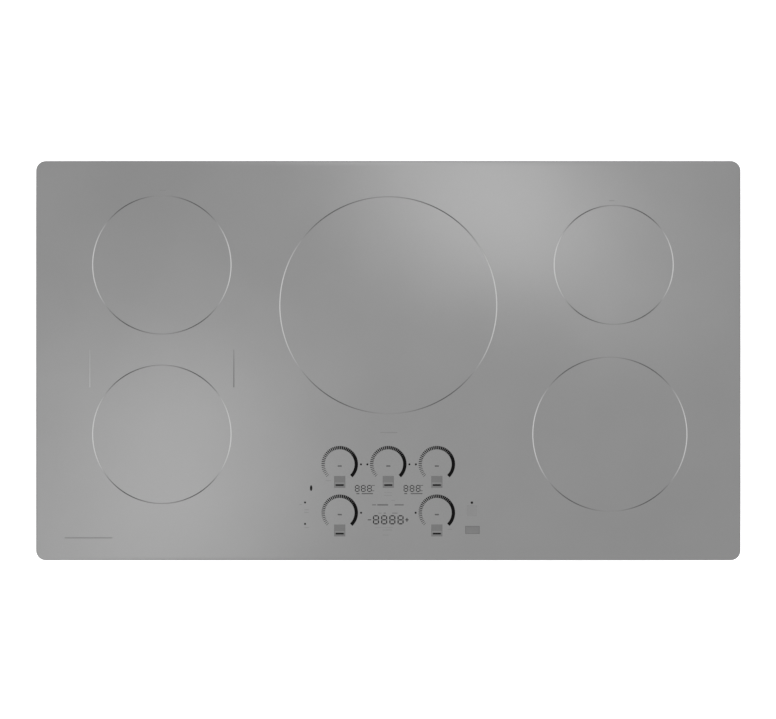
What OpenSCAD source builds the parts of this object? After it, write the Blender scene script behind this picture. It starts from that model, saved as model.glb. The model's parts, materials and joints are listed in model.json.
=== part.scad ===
// Built-in five-zone electric induction cooktop, in millimetres.
// Origin: centre of the base, on the plane that the cooktop stands on. +Z up, -Y is the user's side.

/* [Glass top] */
// Width of the ceramic glass, left to right
glass_w = 914; // [900:1:1120]
// Depth of the ceramic glass, front to back
glass_d = 518; // [510:1:640]
// Thickness of the ceramic glass
glass_t = 4; // [3:0.5:6]
// Radius of the glass corners
glass_corner_r = 12.7; // [4:0.1:20]
// Height from the base to the cooking surface
overall_h = 105; // [104:1:140]
// Height of the printed marks above the glass
print_t = 0.1; // [0.05:0.05:0.3]

/* [Cooking zones] */
// Diameter of both left zones
left_zone_d = 179.6; // [140:0.1:200]
// Diameter of the centre zone
centre_zone_d = 281.5; // [220:0.1:340]
// Diameter of the right rear zone
right_rear_zone_d = 154.4; // [120:0.1:190]
// Diameter of the right front zone
right_front_zone_d = 200; // [150:0.1:210]
// Glass side edge to the left zone centres
left_zone_inset = 163.2; // [150:0.1:190]
// Glass side edge to the right rear zone centre
right_rear_zone_inset = 164.5; // [150:0.1:190]
// Glass side edge to the right front zone centre
right_front_zone_inset = 169.5; // [150:0.1:190]
// Glass rear edge to the rear zone centres
rear_zone_inset = 134.7; // [120:0.1:150]
// Glass front edge to the front zone centres
front_zone_inset = 163.4; // [140:0.1:180]
// Glass rear edge to the centre zone centre
centre_zone_inset = 187.1; // [180:0.1:210]
// Width of the printed zone line
zone_line_w = 1.3; // [0.6:0.1:3]
// Length of the two lines that mark the linked left zones
link_line_l = 49; // [20:1:80]

/* [Touch controls] */
// Distance between dial centres, both ways
dial_pitch = 63; // [52:0.5:76]
// Outer radius of a dial's scale
dial_r = 23.7; // [18:0.1:26]
// Radial width of a dial's scale
dial_band = 4.4; // [3:0.1:7]
// Number of marks on a dial's scale
dial_ticks = 42; // [20:1:60]
// Glass front edge to the front row of dials
dial_inset = 61.6; // [56:0.1:80]
// Width of a dial's on and off field
key_w = 14.4; // [10:0.1:18]

/* [Sheet metal] */
// Glass overhang past the burner box at each side
side_overhang = 30; // [26:1:45]
// Glass overhang past the burner box, front and rear
front_overhang = 19; // [17:1:30]
// Thickness of the burner box and cover sheet
sheet_t = 1; // [0.8:0.1:1.5]
// Thickness of the glass mounting rails
rail_t = 1.2; // [0.8:0.1:2]
// Width of the rail leg that is bonded to the glass
rail_leg_w = 10; // [8:0.5:14]
// Height of the rail leg that is screwed to the box
rail_leg_h = 17; // [14:0.5:20]
// Depth of the bottom cover below the burner box
cover_drop = 6; // [5:0.5:10]
// Inset of the bottom cover from the burner box sides
cover_inset = 42; // [30:1:60]
// Thickness of the foam seal under the glass
seal_t = 3; // [2:0.5:5]
// Width of the foam seal
seal_w = 12; // [8:0.5:14]

/* [Coils] */
// How much smaller a winding is than its zone
coil_margin = 10; // [6:1:20]
// Height of a litz winding
winding_h = 5.5; // [4:0.5:7]
// Height of a coil former
former_h = 6; // [5.5:0.5:8]
// Thickness of the insulation mat over a winding
mat_t = 4; // [2:0.5:5]
// Thickness of the aluminium coil trays
tray_t = 1.5; // [1:0.1:2.5]
// How far a coil tray can be pushed down
tray_travel = 3; // [2:0.5:5]
// Height of a coil tray spring, fitted
spring_h = 24; // [20:0.5:28]

/* [Fans and boards] */
// Outer radius of a blower wheel
wheel_r = 42; // [36:0.5:46]
// Height of a blower wheel
wheel_h = 24; // [18:0.5:27]
// Number of blades on a blower wheel
wheel_blades = 24; // [16:1:36]
// Height of the cooling fins
fin_h = 26; // [16:1:28]
// Thickness of the circuit boards
board_t = 1.6; // [1.2:0.2:2.4]

/* [Hold-down clamps] */
// Shank radius of a clamp screw
clamp_screw_r = 3; // [2.5:0.1:4]
// Travel of a clamp screw
clamp_travel = 25; // [15:1:26]
// Radius of the conduit hole in the rear wall
conduit_r = 14.3; // [11:0.1:18]

/* [Hidden] */
$fn = 72;

// Clearances, named by what they separate
running_gap = 0.06;   // between a shaft or pin and its hole, on the radius
fitting_gap = 0.1;    // between a piece and the slot or wall it is fitted to
wheel_gap = 3;        // between a blower wheel and its housing

// Levels, counted up from the base
glass_z = overall_h - glass_t;
wall_top_z = glass_z - rail_t;
seat_z = glass_z - seal_t;
pan_z = cover_drop;
floor_z = pan_z + sheet_t;
mat_z = glass_z - mat_t;
winding_z = mat_z - winding_h;
former_z = winding_z - former_h;
tray_z = former_z - tray_t;
post_z = tray_z - spring_h;

// Plan sizes of the burner box
box_corner_r = 4;
seal_inset = 2;       // glass edge to the foam seal
former_rim = 2;       // former past the winding
tray_rim = 10;        // tray past the former
deck_gap = 6;         // centre tray to the touch module and to the rear rail
touch_margin = 12;    // dial to the edge of the touch module
touch_wall = 1.5;
centre_deck_d = centre_zone_d - coil_margin + 2 * (former_rim + tray_rim);
rear_room = glass_d / 2 - front_overhang - sheet_t - rail_leg_w - deck_gap;
front_room = glass_d / 2 - dial_inset - dial_pitch - dial_r - touch_margin - touch_wall - deck_gap;
// The top is deeper where the centre tray needs more than the room that glass_d leaves it
top_d = glass_d + max(0, centre_deck_d - rear_room - front_room);
box_w = glass_w - 2 * side_overhang;
box_d = top_d - 2 * front_overhang;
inner_w = box_w - 2 * sheet_t;
inner_d = box_d - 2 * sheet_t;

// Zone centres and diameters, as [x, y, diameter]
left_x = -(glass_w / 2 - left_zone_inset);
rear_y = top_d / 2 - rear_zone_inset;
front_y = -(top_d / 2 - front_zone_inset);
left_rear = [left_x, rear_y, left_zone_d];
left_front = [left_x, front_y, left_zone_d];
spare_d = (top_d - glass_d) / 2;
centre_y = max(centre_deck_d / 2 - front_room - spare_d,
               min(top_d / 2 - centre_zone_inset, rear_room + spare_d - centre_deck_d / 2));
centre = [0, centre_y, centre_zone_d];
right_rear = [glass_w / 2 - right_rear_zone_inset, rear_y, right_rear_zone_d];
right_front = [glass_w / 2 - right_front_zone_inset, front_y, right_front_zone_d];
zones = [left_rear, left_front, centre, right_rear, right_front];
left_zones = [left_rear, left_front];
right_zones = [right_rear, right_front];

// Dials
front_row_y = -(top_d / 2 - dial_inset);
back_row_y = front_row_y + dial_pitch;
dials = [
    [-dial_pitch, back_row_y], [0, back_row_y], [dial_pitch, back_row_y],
    [-dial_pitch, front_row_y], [dial_pitch, front_row_y]
];
dial_start = 226;     // degrees, lower left
dial_sweep = 272;     // degrees, clockwise

// Coil sizes
tray_lip = 6;         // depth of a tray's folded edge
post_inset = 11;      // tray edge to a guide pin's axis
pin_r = 3;            // guide pin on a spring post
post_r = 7;
foot_r = 10;          // foot of a spring post
spring_r = 5.2;       // mean radius of a spring
spring_wire_r = 0.7;
spring_turns = 5;
former_hole_r = 16;
winding_hole_r = 22;
litz_pitch = 3.4;     // radial width of one turn
ferrite_w = 12;
ferrite_h = 4;
ferrites_per_coil = 8;
sensor_r = 6;

// Blowers
housing_t = 2;
cavity_r = wheel_r + wheel_gap + 3;
housing_w = 2 * (cavity_r + housing_t);
housing_h = wheel_h + 2 * wheel_gap + 2 * housing_t;
inlet_r = wheel_r - 9;
blade_l = 11;         // along a blade, rim to root
hub_r = 15;
shaft_r = 3;

// Power modules
board_lift = 6;       // standoff height
board_z = floor_z + board_lift;
board_l = 188;
board_w = min([for (zs = [left_zones, right_zones]) deck_w(zs) - 2 * post_inset]) - 2 * (foot_r + 0.8);
board_edge = 40;      // module centre to the board's rear edge
blower_y = board_edge + 6 + housing_w / 2;    // module centre to the blower's axis
plug = [40, 10, 12];  // plug socket on a board
sink_w = 60;
sink_l = 140;
sink_base_t = 5;
fins = 11;
fin_t = 1.8;

// Screw places on the bottom cover
cover_w = box_w - 2 * cover_inset;
cover_d = box_d - 1.4 * cover_inset;
cover_flange = 12;
cover_screws_x = [-0.46, -0.23, 0, 0.23, 0.46];   // shares of the cover width
cover_screw_y = (cover_d - cover_flange) / 2;

// The place of each power module's centre
module_y = (rear_y + front_y) / 2 - 30;
left_module = [deck_x(left_zones), module_y];
centre_module = [0, cover_screw_y - 4.7 - housing_w / 2 - blower_y];
right_module = [deck_x(right_zones), module_y];
modules = [left_module, centre_module, right_module];

// Touch control module
touch_w = 240;
touch_z = glass_z - 9;         // underside of the touch board
touch_front_gap = 2;           // front rail to the carrier
touch_front_y = -(inner_d / 2 - rail_leg_w - touch_front_gap);
touch_back_y = back_row_y + dial_r + touch_margin;
touch_d = touch_back_y - touch_front_y;
touch_y = (touch_back_y + touch_front_y) / 2;
carrier_drop = 9;              // carrier floor below the touch board

// Displays, as [centre x, centre y, digits, digit height]
timer_y = back_row_y - dial_pitch / 2;
clock_y = front_row_y - 9.2;
timer_left_x = -dial_pitch / 2 - 0.9;
timer_right_x = dial_pitch / 2 - 0.7;
timer_digit_h = 8.8;
clock_digit_h = 11.8;
digit_ratio = 0.66;            // digit width to height
digit_pitch_ratio = 0.9;       // digit pitch to height
displays = [
    [timer_left_x, timer_y, 3, timer_digit_h],
    [timer_right_x, timer_y, 3, timer_digit_h],
    [0, clock_y, 4, clock_digit_h]
];

// Clamps
bracket_t = 2;
bracket_w = 40;
clamp_x = box_w / 2 + 15;
pad_top_z = seat_z - 40;
pad_r = 7;
pad_t = 4;
tab_z = pad_top_z - 14;
weld_nut_h = 5;
bracket_z = tab_z - 30;
bracket_screw_z = tab_z - 18;
wing_z = tab_z - 38;
wing_h = 10;
gusset = [20, 15];

// Junction box, on the rear wall
junction = [80, 66, 55];
junction_gap = 6.7;   // junction box side to the axis of the last cover screw
junction_x = cover_screws_x[4] * cover_w - junction_gap - junction[0] / 2;
junction_sheet = 1.2;
conduit_z = floor_z + junction[2] / 2;
terminal_pitch = 15;
terminal_x = junction_x - terminal_pitch;     // the terminal that the loom leaves from
terminal_y = inner_d / 2 - junction[1] + 20;
clamp_top_z = floor_z + junction_sheet + 12;  // top of a terminal's clamp
outlet_z = floor_z + 38;
lead_r = 3;

// Screws
screw_r = 2;
screw_head_r = 3.6;
screw_head_h = 2.2;
screw_l = 5;
rail_screw_z = wall_top_z - rail_leg_h / 2;
rail_screws_x = [-0.42, -0.14, 0.14, 0.42];   // shares of the box width
rail_screws_y = [-0.36, 0.36];                // shares of the box depth

// ---------- Shared shapes ----------

// A flat rectangle with round corners, centred
module round_rect(w, d, r) {
    square([w - 2 * r, d], center = true);
    square([w, d - 2 * r], center = true);
    for (x = [-1, 1], y = [-1, 1])
        translate([x * (w / 2 - r), y * (d / 2 - r)]) circle(r);
}

// A plate with round corners, standing on z
module plate(w, d, r, z, t) {
    translate([0, 0, z]) linear_extrude(t) round_rect(w, d, r);
}

// A box centred in plan, standing on z
module block(x, y, z, size) {
    translate([x - size[0] / 2, y - size[1] / 2, z]) cube(size);
}

// A slot with round ends, centred, running along X
module slot(l, w) {
    square([l - w, w], center = true);
    for (x = [-1, 1]) translate([x * (l - w) / 2, 0]) circle(w / 2);
}

// A block of slots, centred on its place
module slots(count, pitch, l, w) {
    for (i = [0:count - 1]) translate([(i - (count - 1) / 2) * pitch, 0]) rotate(90) slot(l, w);
}

// A tube along a list of points, with flat ends
function unit(v) = v / norm(v);
function heading(p, i) = unit(p[min(i + 1, len(p) - 1)] - p[max(i - 1, 0)]);
function square_to(u, t) = unit(u - (u * t) * t);
function sides_of(p) = [
    for (i = 0, u = square_to(abs(heading(p, 0).z) < 0.8 ? [0, 0, 1] : [1, 0, 0], heading(p, 0));
         i < len(p);
         i = i + 1, u = i < len(p) ? square_to(u, heading(p, i)) : u) u
];
module tube(p, r, sides) {
    u = sides_of(p);
    n = len(p);
    rings = [
        for (i = [0:n - 1], k = [0:sides - 1])
            p[i] + r * (cos(360 * k / sides) * u[i] + sin(360 * k / sides) * cross(heading(p, i), u[i]))
    ];
    walls = [
        for (i = [0:n - 2], k = [0:sides - 1], half = [0, 1])
            let (a = i * sides, b = a + sides, m = (k + 1) % sides)
                half == 0 ? [a + k, a + m, b + m] : [a + k, b + m, b + k]
    ];
    start_cap = [[for (k = [sides - 1:-1:0]) k]];
    end_cap = [[for (k = [0:sides - 1]) (n - 1) * sides + k]];
    polyhedron(points = rings, faces = concat(walls, start_cap, end_cap), convexity = 6);
}

// A smooth run of points through the corners of a route
function bend(a, b, c, t) = (1 - t) * (1 - t) * a + 2 * t * (1 - t) * b + t * t * c;
function rounded_route(p, steps) = concat(
    [p[0]],
    [for (i = [1:len(p) - 2], s = [0:steps])
        bend((p[i - 1] + 2 * p[i]) / 3, p[i], (p[i + 1] + 2 * p[i]) / 3, s / steps)],
    [p[len(p) - 1]]
);

// A screw driven along +Z: its head is below z, its shank above
module screw() {
    translate([0, 0, -screw_head_h]) cylinder(r = screw_head_r, h = screw_head_h);
    cylinder(r = screw_r, h = screw_l);
}

// The cut for a screw's hole, through a sheet at z = 0
module screw_hole() {
    cylinder(r = screw_r + running_gap, h = 8, center = true);
}

// ---------- Glass and printed marks ----------

module glass_top() {
    color([0.6, 0.6, 0.6]) plate(glass_w, top_d, glass_corner_r, glass_z, glass_t);
}

module zone_rings() {
    color([0.82, 0.82, 0.82]) translate([0, 0, overall_h]) {
        for (z = zones) translate([z[0], z[1]]) rotate_extrude()
            translate([(z[2] - zone_line_w) / 2, 0]) square([zone_line_w, print_t]);
        for (x = [-1, 1])
            block(left_x + x * (left_zone_d / 2 + 3.6), (rear_y + front_y) / 2 - link_line_l / 2, 0,
                  [zone_line_w, link_line_l, print_t]);
    }
}

// One dial mark: a wedge of the scale, thin at the start and wide at the end
module dial_tick(i) {
    share = i / (dial_ticks - 1);
    pitch = dial_sweep / dial_ticks;
    half = 0.98 * pitch / 2 * (0.13 + 0.87 * pow(share, 0.85));
    mid = dial_start - (i + 0.5) * pitch;
    polygon([
        for (c = [[dial_r - dial_band, -1], [dial_r, -1], [dial_r, 1], [dial_r - dial_band, 1]])
            c[0] * [cos(mid + c[1] * half), sin(mid + c[1] * half)]
    ]);
}

module dial_marks() {
    color([0.1, 0.1, 0.1]) translate([0, 0, overall_h]) linear_extrude(print_t)
        for (d = dials) translate(d) for (i = [0:dial_ticks - 1]) dial_tick(i);
}

// A seven-segment digit, centred, as separate strokes
module digit(h) {
    w = h * digit_ratio;
    t = h * 0.1;
    long = (h - t) / 2;
    for (y = [-1, 0, 1]) translate([0, y * long]) square([w - 3 * t, t], center = true);
    for (x = [-1, 1], y = [-1, 1])
        translate([x * (w - t) / 2, y * long / 2]) square([t, long - 1.4 * t], center = true);
}

module display_marks() {
    color([0.25, 0.25, 0.25]) translate([0, 0, overall_h]) linear_extrude(print_t) {
        for (d = displays, i = [0:d[2] - 1])
            translate([d[0] + (i - (d[2] - 1) / 2) * d[3] * digit_pitch_ratio, d[1]]) digit(d[3]);
        // On and off field of each dial: a frame over a solid bar
        for (d = dials) translate([d[0], d[1] - 23]) difference() {
            square([key_w, key_w + 1], center = true);
            translate([0, 1.5]) square([key_w - 1.6, key_w - 4], center = true);
        }
        // Plus and minus beside the clock
        translate([-25.5, clock_y]) square([4.4, 0.9], center = true);
        translate([25.5, clock_y]) {
            square([4.4, 0.9], center = true);
            square([0.9, 4.4], center = true);
        }
    }
}

// ---------- Seal and mounting rails ----------

module foam_seal() {
    w = glass_w - 2 * seal_inset;
    d = top_d - 2 * seal_inset;
    color([0.12, 0.12, 0.12]) difference() {
        plate(w, d, glass_corner_r, seat_z, seal_t);
        plate(w - 2 * seal_w, d - 2 * seal_w, 2, seat_z - 1, seal_t + 2);
    }
}

// An angle rail along X: its short leg is bonded to the glass, its tall leg stands at y = 0 and faces +Y
module mount_rail(l, screws) {
    difference() {
        union() {
            translate([-l / 2, -rail_leg_w, wall_top_z]) cube([l, rail_leg_w, rail_t]);
            translate([-l / 2, -rail_t, wall_top_z - rail_leg_h]) cube([l, rail_t, rail_leg_h]);
        }
        for (x = screws) translate([x, 1, rail_screw_z]) rotate([90, 0, 0])
            cylinder(r = screw_r + running_gap, h = rail_t + 2);
    }
}

module long_rail() {
    mount_rail(inner_w - 2 * (rail_leg_w + box_corner_r), [for (s = rail_screws_x) s * box_w]);
}

module short_rail() {
    mount_rail(inner_d - 2 * box_corner_r, [for (s = rail_screws_y) s * box_d]);
}

rail_y = inner_d / 2 - fitting_gap;
rail_x = inner_w / 2 - fitting_gap;
module mount_rail_rear() { color([0.72, 0.73, 0.74]) translate([0, rail_y, 0]) long_rail(); }
module mount_rail_front() { color([0.72, 0.73, 0.74]) translate([0, -rail_y, 0]) rotate(180) long_rail(); }
module mount_rail_left() { color([0.72, 0.73, 0.74]) translate([-rail_x, 0, 0]) rotate(90) short_rail(); }
module mount_rail_right() { color([0.72, 0.73, 0.74]) translate([rail_x, 0, 0]) rotate(-90) short_rail(); }

// ---------- Burner box and bottom cover ----------

// Holes through the four walls for the rail screws, and for the clamp screws
module wall_screw_holes() {
    for (x = rail_screws_x, y = [-1, 1])
        translate([x * box_w, y * box_d / 2, rail_screw_z]) rotate([90, 0, 0]) screw_hole();
    for (x = [-1, 1], y = rail_screws_y)
        translate([x * box_w / 2, y * box_d, rail_screw_z]) rotate([0, 90, 0]) screw_hole();
    for (x = [-1, 1], y = [-1, 1])
        translate([x * box_w / 2, y * bracket_w / 4, bracket_screw_z]) rotate([0, 90, 0]) screw_hole();
}

vent_l = 26;
vent_w = 4;
vent_pitch = 9;
vent_z = floor_z + 22;
front_vents_x = [-box_w / 3.2, 0, box_w / 3.2];

module burner_box() {
    color([0.7, 0.71, 0.72]) {
        difference() {
            plate(box_w, box_d, box_corner_r, pan_z, wall_top_z - pan_z);
            plate(inner_w, inner_d, box_corner_r - sheet_t, floor_z, wall_top_z);
            // Air inlets under the blowers
            for (m = modules) translate([m[0], m[1] + blower_y, 0]) cylinder(r = inlet_r, h = floor_z + 1);
            // Outlets in the floor, behind the front wall
            for (x = front_vents_x) translate([x, -inner_d / 2 + 20, 0])
                linear_extrude(floor_z + 1) slots(12, vent_pitch, vent_l - 4, vent_w);
            // Outlets in the front and rear walls
            for (x = front_vents_x) translate([x, -box_d / 2 + 3, vent_z]) rotate([90, 0, 0])
                linear_extrude(6) slots(14, vent_pitch, vent_l, vent_w);
            for (x = [front_vents_x[0], front_vents_x[1]]) translate([x, box_d / 2 + 3, vent_z])
                rotate([90, 0, 0]) linear_extrude(6) slots(14, vent_pitch, vent_l, vent_w);
            // Conduit hole
            translate([junction_x, box_d / 2 + 3, conduit_z]) rotate([90, 0, 0])
                cylinder(r = conduit_r, h = 6);
            wall_screw_holes();
            for (p = cover_screws) translate([p[0], p[1], pan_z]) screw_hole();
        }
    }
}

cover_screws = [for (x = cover_screws_x, y = [-1, 1]) [x * cover_w, y * cover_screw_y]];
grille_ring = 7;      // pitch of the grille's rings

// An inlet grille: broken rings of slots, cut through the cover
module grille() {
    for (k = [0:3]) {
        r = 9 + k * grille_ring;
        difference() {
            circle(r + 2);
            circle(r - 2);
            for (a = [0:2]) rotate(a * 60 + k * 30) square([2 * inlet_r + 9, 5], center = true);
        }
    }
}

module bottom_cover() {
    dish_w = cover_w - 2 * cover_flange;
    dish_d = cover_d - 2 * cover_flange;
    color([0.64, 0.65, 0.66]) difference() {
        union() {
            plate(cover_w, cover_d, 10, pan_z - sheet_t, sheet_t);
            plate(dish_w, dish_d, 8, 0, pan_z - sheet_t);
        }
        plate(dish_w - 2 * sheet_t, dish_d - 2 * sheet_t, 7, sheet_t, pan_z);
        for (m = modules) translate([m[0], m[1] + blower_y, -1]) linear_extrude(sheet_t + 2) grille();
        for (p = cover_screws) translate([p[0], p[1], pan_z]) screw_hole();
    }
}

// ---------- Coil trays, coils and springs ----------

function reach(z) = (z[2] - coil_margin) / 2 + former_rim + tray_rim;
function low(zs, k) = min([for (z = zs) z[k] - reach(z)]);
function high(zs, k) = max([for (z = zs) z[k] + reach(z)]);
function deck_w(zs) = high(zs, 0) - low(zs, 0);
function deck_x(zs) = (high(zs, 0) + low(zs, 0)) / 2;
// The corner pins of the tray that carries these zones
function pins(zs) = [
    for (x = [low(zs, 0) + post_inset, high(zs, 0) - post_inset],
         y = [low(zs, 1) + post_inset, high(zs, 1) - post_inset]) [x, y]
];

module coil_tray(zs) {
    w = deck_w(zs);
    d = high(zs, 1) - low(zs, 1);
    mid = [deck_x(zs), (high(zs, 1) + low(zs, 1)) / 2];
    color([0.78, 0.79, 0.8]) difference() {
        translate([mid[0], mid[1], 0]) plate(w, d, 3, tray_z - tray_lip, tray_lip + tray_t);
        translate([mid[0], mid[1], 0]) plate(w - 2 * tray_t, d - 2 * tray_t, 3 - tray_t, 0, tray_z);
        for (p = pins(zs)) translate([p[0], p[1], 0]) cylinder(r = pin_r + running_gap, h = glass_z);
        for (z = zs) translate([z[0], z[1], 0]) cylinder(r = sensor_r + 2, h = glass_z);
    }
}

module ferrite_bars(z, gap) {
    outer = (z[2] - coil_margin) / 2 - 5;
    for (i = [0:ferrites_per_coil - 1])
        translate([z[0], z[1], 0]) rotate((i + 0.5) * 360 / ferrites_per_coil)
            translate([winding_hole_r + 2 - gap, -ferrite_w / 2 - gap, former_z])
                cube([outer - winding_hole_r - 2 + 2 * gap, ferrite_w + 2 * gap, ferrite_h + gap]);
}

module former(z) {
    color([0.2, 0.2, 0.21]) difference() {
        translate([z[0], z[1], former_z]) cylinder(r = (z[2] - coil_margin) / 2 + former_rim, h = former_h);
        translate([z[0], z[1], 0]) cylinder(r = former_hole_r, h = glass_z);
        ferrite_bars(z, fitting_gap);
    }
}

// A flat spiral of litz wire, drawn as concentric turns that touch
module winding(z) {
    outer = (z[2] - coil_margin) / 2;
    turns = floor((outer - winding_hole_r) / litz_pitch);
    pitch = (outer - winding_hole_r) / turns;
    crown = [
        for (i = [turns - 1:-1:0], s = [1, 0.75, 0.25])
            [winding_hole_r + (i + s) * pitch, winding_h - (s == 1 ? 1 : 0)]
    ];
    color([0.72, 0.42, 0.2]) translate([z[0], z[1], winding_z]) rotate_extrude()
        polygon(concat([[winding_hole_r, 0], [outer, 0]], crown, [[winding_hole_r, winding_h - 1]]));
}

module insulation(zs) {
    color([0.86, 0.85, 0.8]) for (z = zs) translate([z[0], z[1], mat_z]) difference() {
        cylinder(r = (z[2] - coil_margin) / 2 + former_rim, h = mat_t);
        translate([0, 0, -1]) cylinder(r = former_hole_r, h = mat_t + 2);
    }
}

module sensors(zs) {
    color([0.85, 0.35, 0.15]) for (z = zs) translate([z[0], z[1], 0]) {
        translate([0, 0, tray_z - 3]) cylinder(r = sensor_r, h = glass_z - tray_z + 3);
        translate([0, 0, former_z]) cylinder(r = sensor_r + 5, h = 3);
    }
}

function helix(x, y, turn_steps) = [
    for (i = [0:spring_turns * turn_steps])
        [x + spring_r * cos(360 * i / turn_steps), y + spring_r * sin(360 * i / turn_steps),
         post_z + spring_wire_r + i / (spring_turns * turn_steps) * (spring_h - 2 * spring_wire_r)]
];

module springs(zs) {
    color([0.75, 0.75, 0.75]) for (p = pins(zs)) tube(helix(p[0], p[1], 8), spring_wire_r, 6);
}

module coil_tray_left() { coil_tray(left_zones); }
module coil_tray_centre() { coil_tray([centre]); }
module coil_tray_right() { coil_tray(right_zones); }
module former_left_rear() { former(left_rear); }
module former_left_front() { former(left_front); }
module former_centre() { former(centre); }
module former_right_rear() { former(right_rear); }
module former_right_front() { former(right_front); }
module winding_left_rear() { winding(left_rear); }
module winding_left_front() { winding(left_front); }
module winding_centre() { winding(centre); }
module winding_right_rear() { winding(right_rear); }
module winding_right_front() { winding(right_front); }
module ferrites_left() { color([0.22, 0.22, 0.24]) for (z = left_zones) ferrite_bars(z, 0); }
module ferrites_centre() { color([0.22, 0.22, 0.24]) ferrite_bars(centre, 0); }
module ferrites_right() { color([0.22, 0.22, 0.24]) for (z = right_zones) ferrite_bars(z, 0); }
module insulation_left() { insulation(left_zones); }
module insulation_centre() { insulation([centre]); }
module insulation_right() { insulation(right_zones); }
module sensors_left() { sensors(left_zones); }
module sensors_centre() { sensors([centre]); }
module sensors_right() { sensors(right_zones); }
module springs_left() { springs(left_zones); }
module springs_centre() { springs([centre]); }
module springs_right() { springs(right_zones); }

module spring_posts() {
    pin_top = tray_z + tray_t + 3;
    color([0.7, 0.7, 0.7]) for (zs = [left_zones, [centre], right_zones], p = pins(zs))
        translate([p[0], p[1], 0]) {
            translate([0, 0, floor_z]) cylinder(r = foot_r, h = 2);
            translate([0, 0, floor_z]) cylinder(r = post_r, h = post_z - floor_z);
            translate([0, 0, floor_z]) cylinder(r = pin_r, h = pin_top - floor_z);
        }
}

// ---------- Power modules ----------

// A board's standoff, up into the board
module standoff() {
    cylinder(r = 4, h = board_lift + board_t / 2);
}

// The top of the plug socket at a board's front edge
function board_plug(m) = [m[0], m[1] + board_edge - board_l + plug[1], board_z + board_t + plug[2]];

module power_board(m) {
    rear = m[1] + board_edge;
    side = board_w / 2;
    stands = [8, board_l - 8];
    color([0.12, 0.32, 0.2]) {
        block(m[0], rear - board_l / 2, board_z, [board_w, board_l, board_t]);
        for (x = [-1, 1], y = stands)
            translate([m[0] + x * (side - 8), rear - y, floor_z]) standoff();
        // Film capacitors, electrolytic, chokes and relays either side of the heat sink
        top = board_z + board_t / 2;
        for (y = [30, 62]) block(m[0] - side + 22, rear - y, top, [30, 22, 26]);
        translate([m[0] - side + 22, rear - 104, top]) cylinder(r = 12.5, h = 30);
        translate([m[0] - side + 22, rear - 146, top]) difference() {
            cylinder(r = 16, h = 14);
            translate([0, 0, board_t]) cylinder(r = 7, h = 20);
        }
        for (y = [30, 56, 82]) block(m[0] + side - 20, rear - y, top, [26, 18, 16]);
        block(m[0] + side - 22, rear - 130, top, [32, 36, 12]);
        plug_at = board_plug(m);
        block(plug_at[0], plug_at[1], top, [plug[0], plug[1], plug_at[2] - top]);
    }
}

module heat_sink(m) {
    rear = m[1] + board_edge - 4;
    z = board_z + board_t;
    color([0.8, 0.81, 0.82]) {
        block(m[0], rear - sink_l / 2, z, [sink_w, sink_l, sink_base_t]);
        for (i = [0:fins - 1])
            block(m[0] + (i / (fins - 1) - 0.5) * (sink_w - fin_t), rear - sink_l / 2, z,
                  [fin_t, sink_l, sink_base_t + fin_h]);
    }
}

module blower_housing(m) {
    color([0.16, 0.16, 0.17]) translate([m[0], m[1] + blower_y, floor_z]) difference() {
        union() {
            linear_extrude(housing_h) round_rect(housing_w, housing_w, 14);
            translate([0, 0, housing_h]) cylinder(r = hub_r + 3, h = 3);
        }
        translate([0, 0, housing_t]) cylinder(r = cavity_r, h = housing_h - 2 * housing_t);
        translate([0, 0, -1]) cylinder(r = inlet_r, h = housing_t + 2);
        block(0, -housing_w / 2, housing_t, [sink_w, housing_w, housing_h - 2 * housing_t]);
        cylinder(r = shaft_r + running_gap, h = housing_h + 2);
    }
}

// A centrifugal wheel: back plate and hub above, blades below, ring at the inlet
module blower_wheel(m) {
    base = floor_z + housing_t + wheel_gap;
    color([0.1, 0.1, 0.11]) translate([m[0], m[1] + blower_y, base]) {
        translate([0, 0, wheel_h - 2]) cylinder(r = wheel_r, h = 2);
        difference() {
            cylinder(r = wheel_r, h = 2);
            translate([0, 0, -1]) cylinder(r = wheel_r - 3, h = 4);
        }
        for (i = [0:wheel_blades - 1]) rotate(i * 360 / wheel_blades)
            translate([wheel_r - 2, 0, 1]) rotate(35) translate([-blade_l, -0.6, 0])
                cube([blade_l, 1.2, wheel_h - 2]);
        translate([0, 0, 6]) cylinder(r = hub_r, h = wheel_h - 6);
        translate([0, 0, wheel_h / 2]) cylinder(r = shaft_r, h = wheel_h / 2 + wheel_gap + housing_t + 1);
    }
}

module power_board_left() { power_board(left_module); }
module power_board_centre() { power_board(centre_module); }
module power_board_right() { power_board(right_module); }
module heat_sink_left() { heat_sink(left_module); }
module heat_sink_centre() { heat_sink(centre_module); }
module heat_sink_right() { heat_sink(right_module); }
module blower_housing_left() { blower_housing(left_module); }
module blower_housing_centre() { blower_housing(centre_module); }
module blower_housing_right() { blower_housing(right_module); }
module blower_wheel_left() { blower_wheel(left_module); }
module blower_wheel_centre() { blower_wheel(centre_module); }
module blower_wheel_right() { blower_wheel(right_module); }

// ---------- Filter, touch controls and mains inlet ----------

filter = [190, 88];
filter_y = -inner_d / 2 + 40 + filter[1] / 2;
filter_x = 0;
filter_plugs_x = [-80, -26, 26, 80];
module filter_board() {
    top = board_z + board_t / 2;
    color([0.14, 0.3, 0.2]) {
        block(filter_x, filter_y, board_z, [filter[0], filter[1], board_t]);
        for (x = [-1, 1], y = [-1, 1])
            translate([filter_x + x * (filter[0] / 2 - 8), filter_y + y * (filter[1] / 2 - 8), floor_z])
                standoff();
        for (x = [-52, 6]) translate([filter_x + x, filter_y, top]) difference() {
            cylinder(r = 22, h = 22);
            translate([0, 0, board_t]) cylinder(r = 10, h = 30);
        }
        for (x = [48, 72]) block(filter_x + x, filter_y + 6, top, [18, 44, 28]);
        for (i = [0:len(filter_plugs_x) - 1]) {
            p = filter_plug(i);
            block(p[0], p[1], top, [18, plug[1], p[2] - top]);
        }
    }
}

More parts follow.
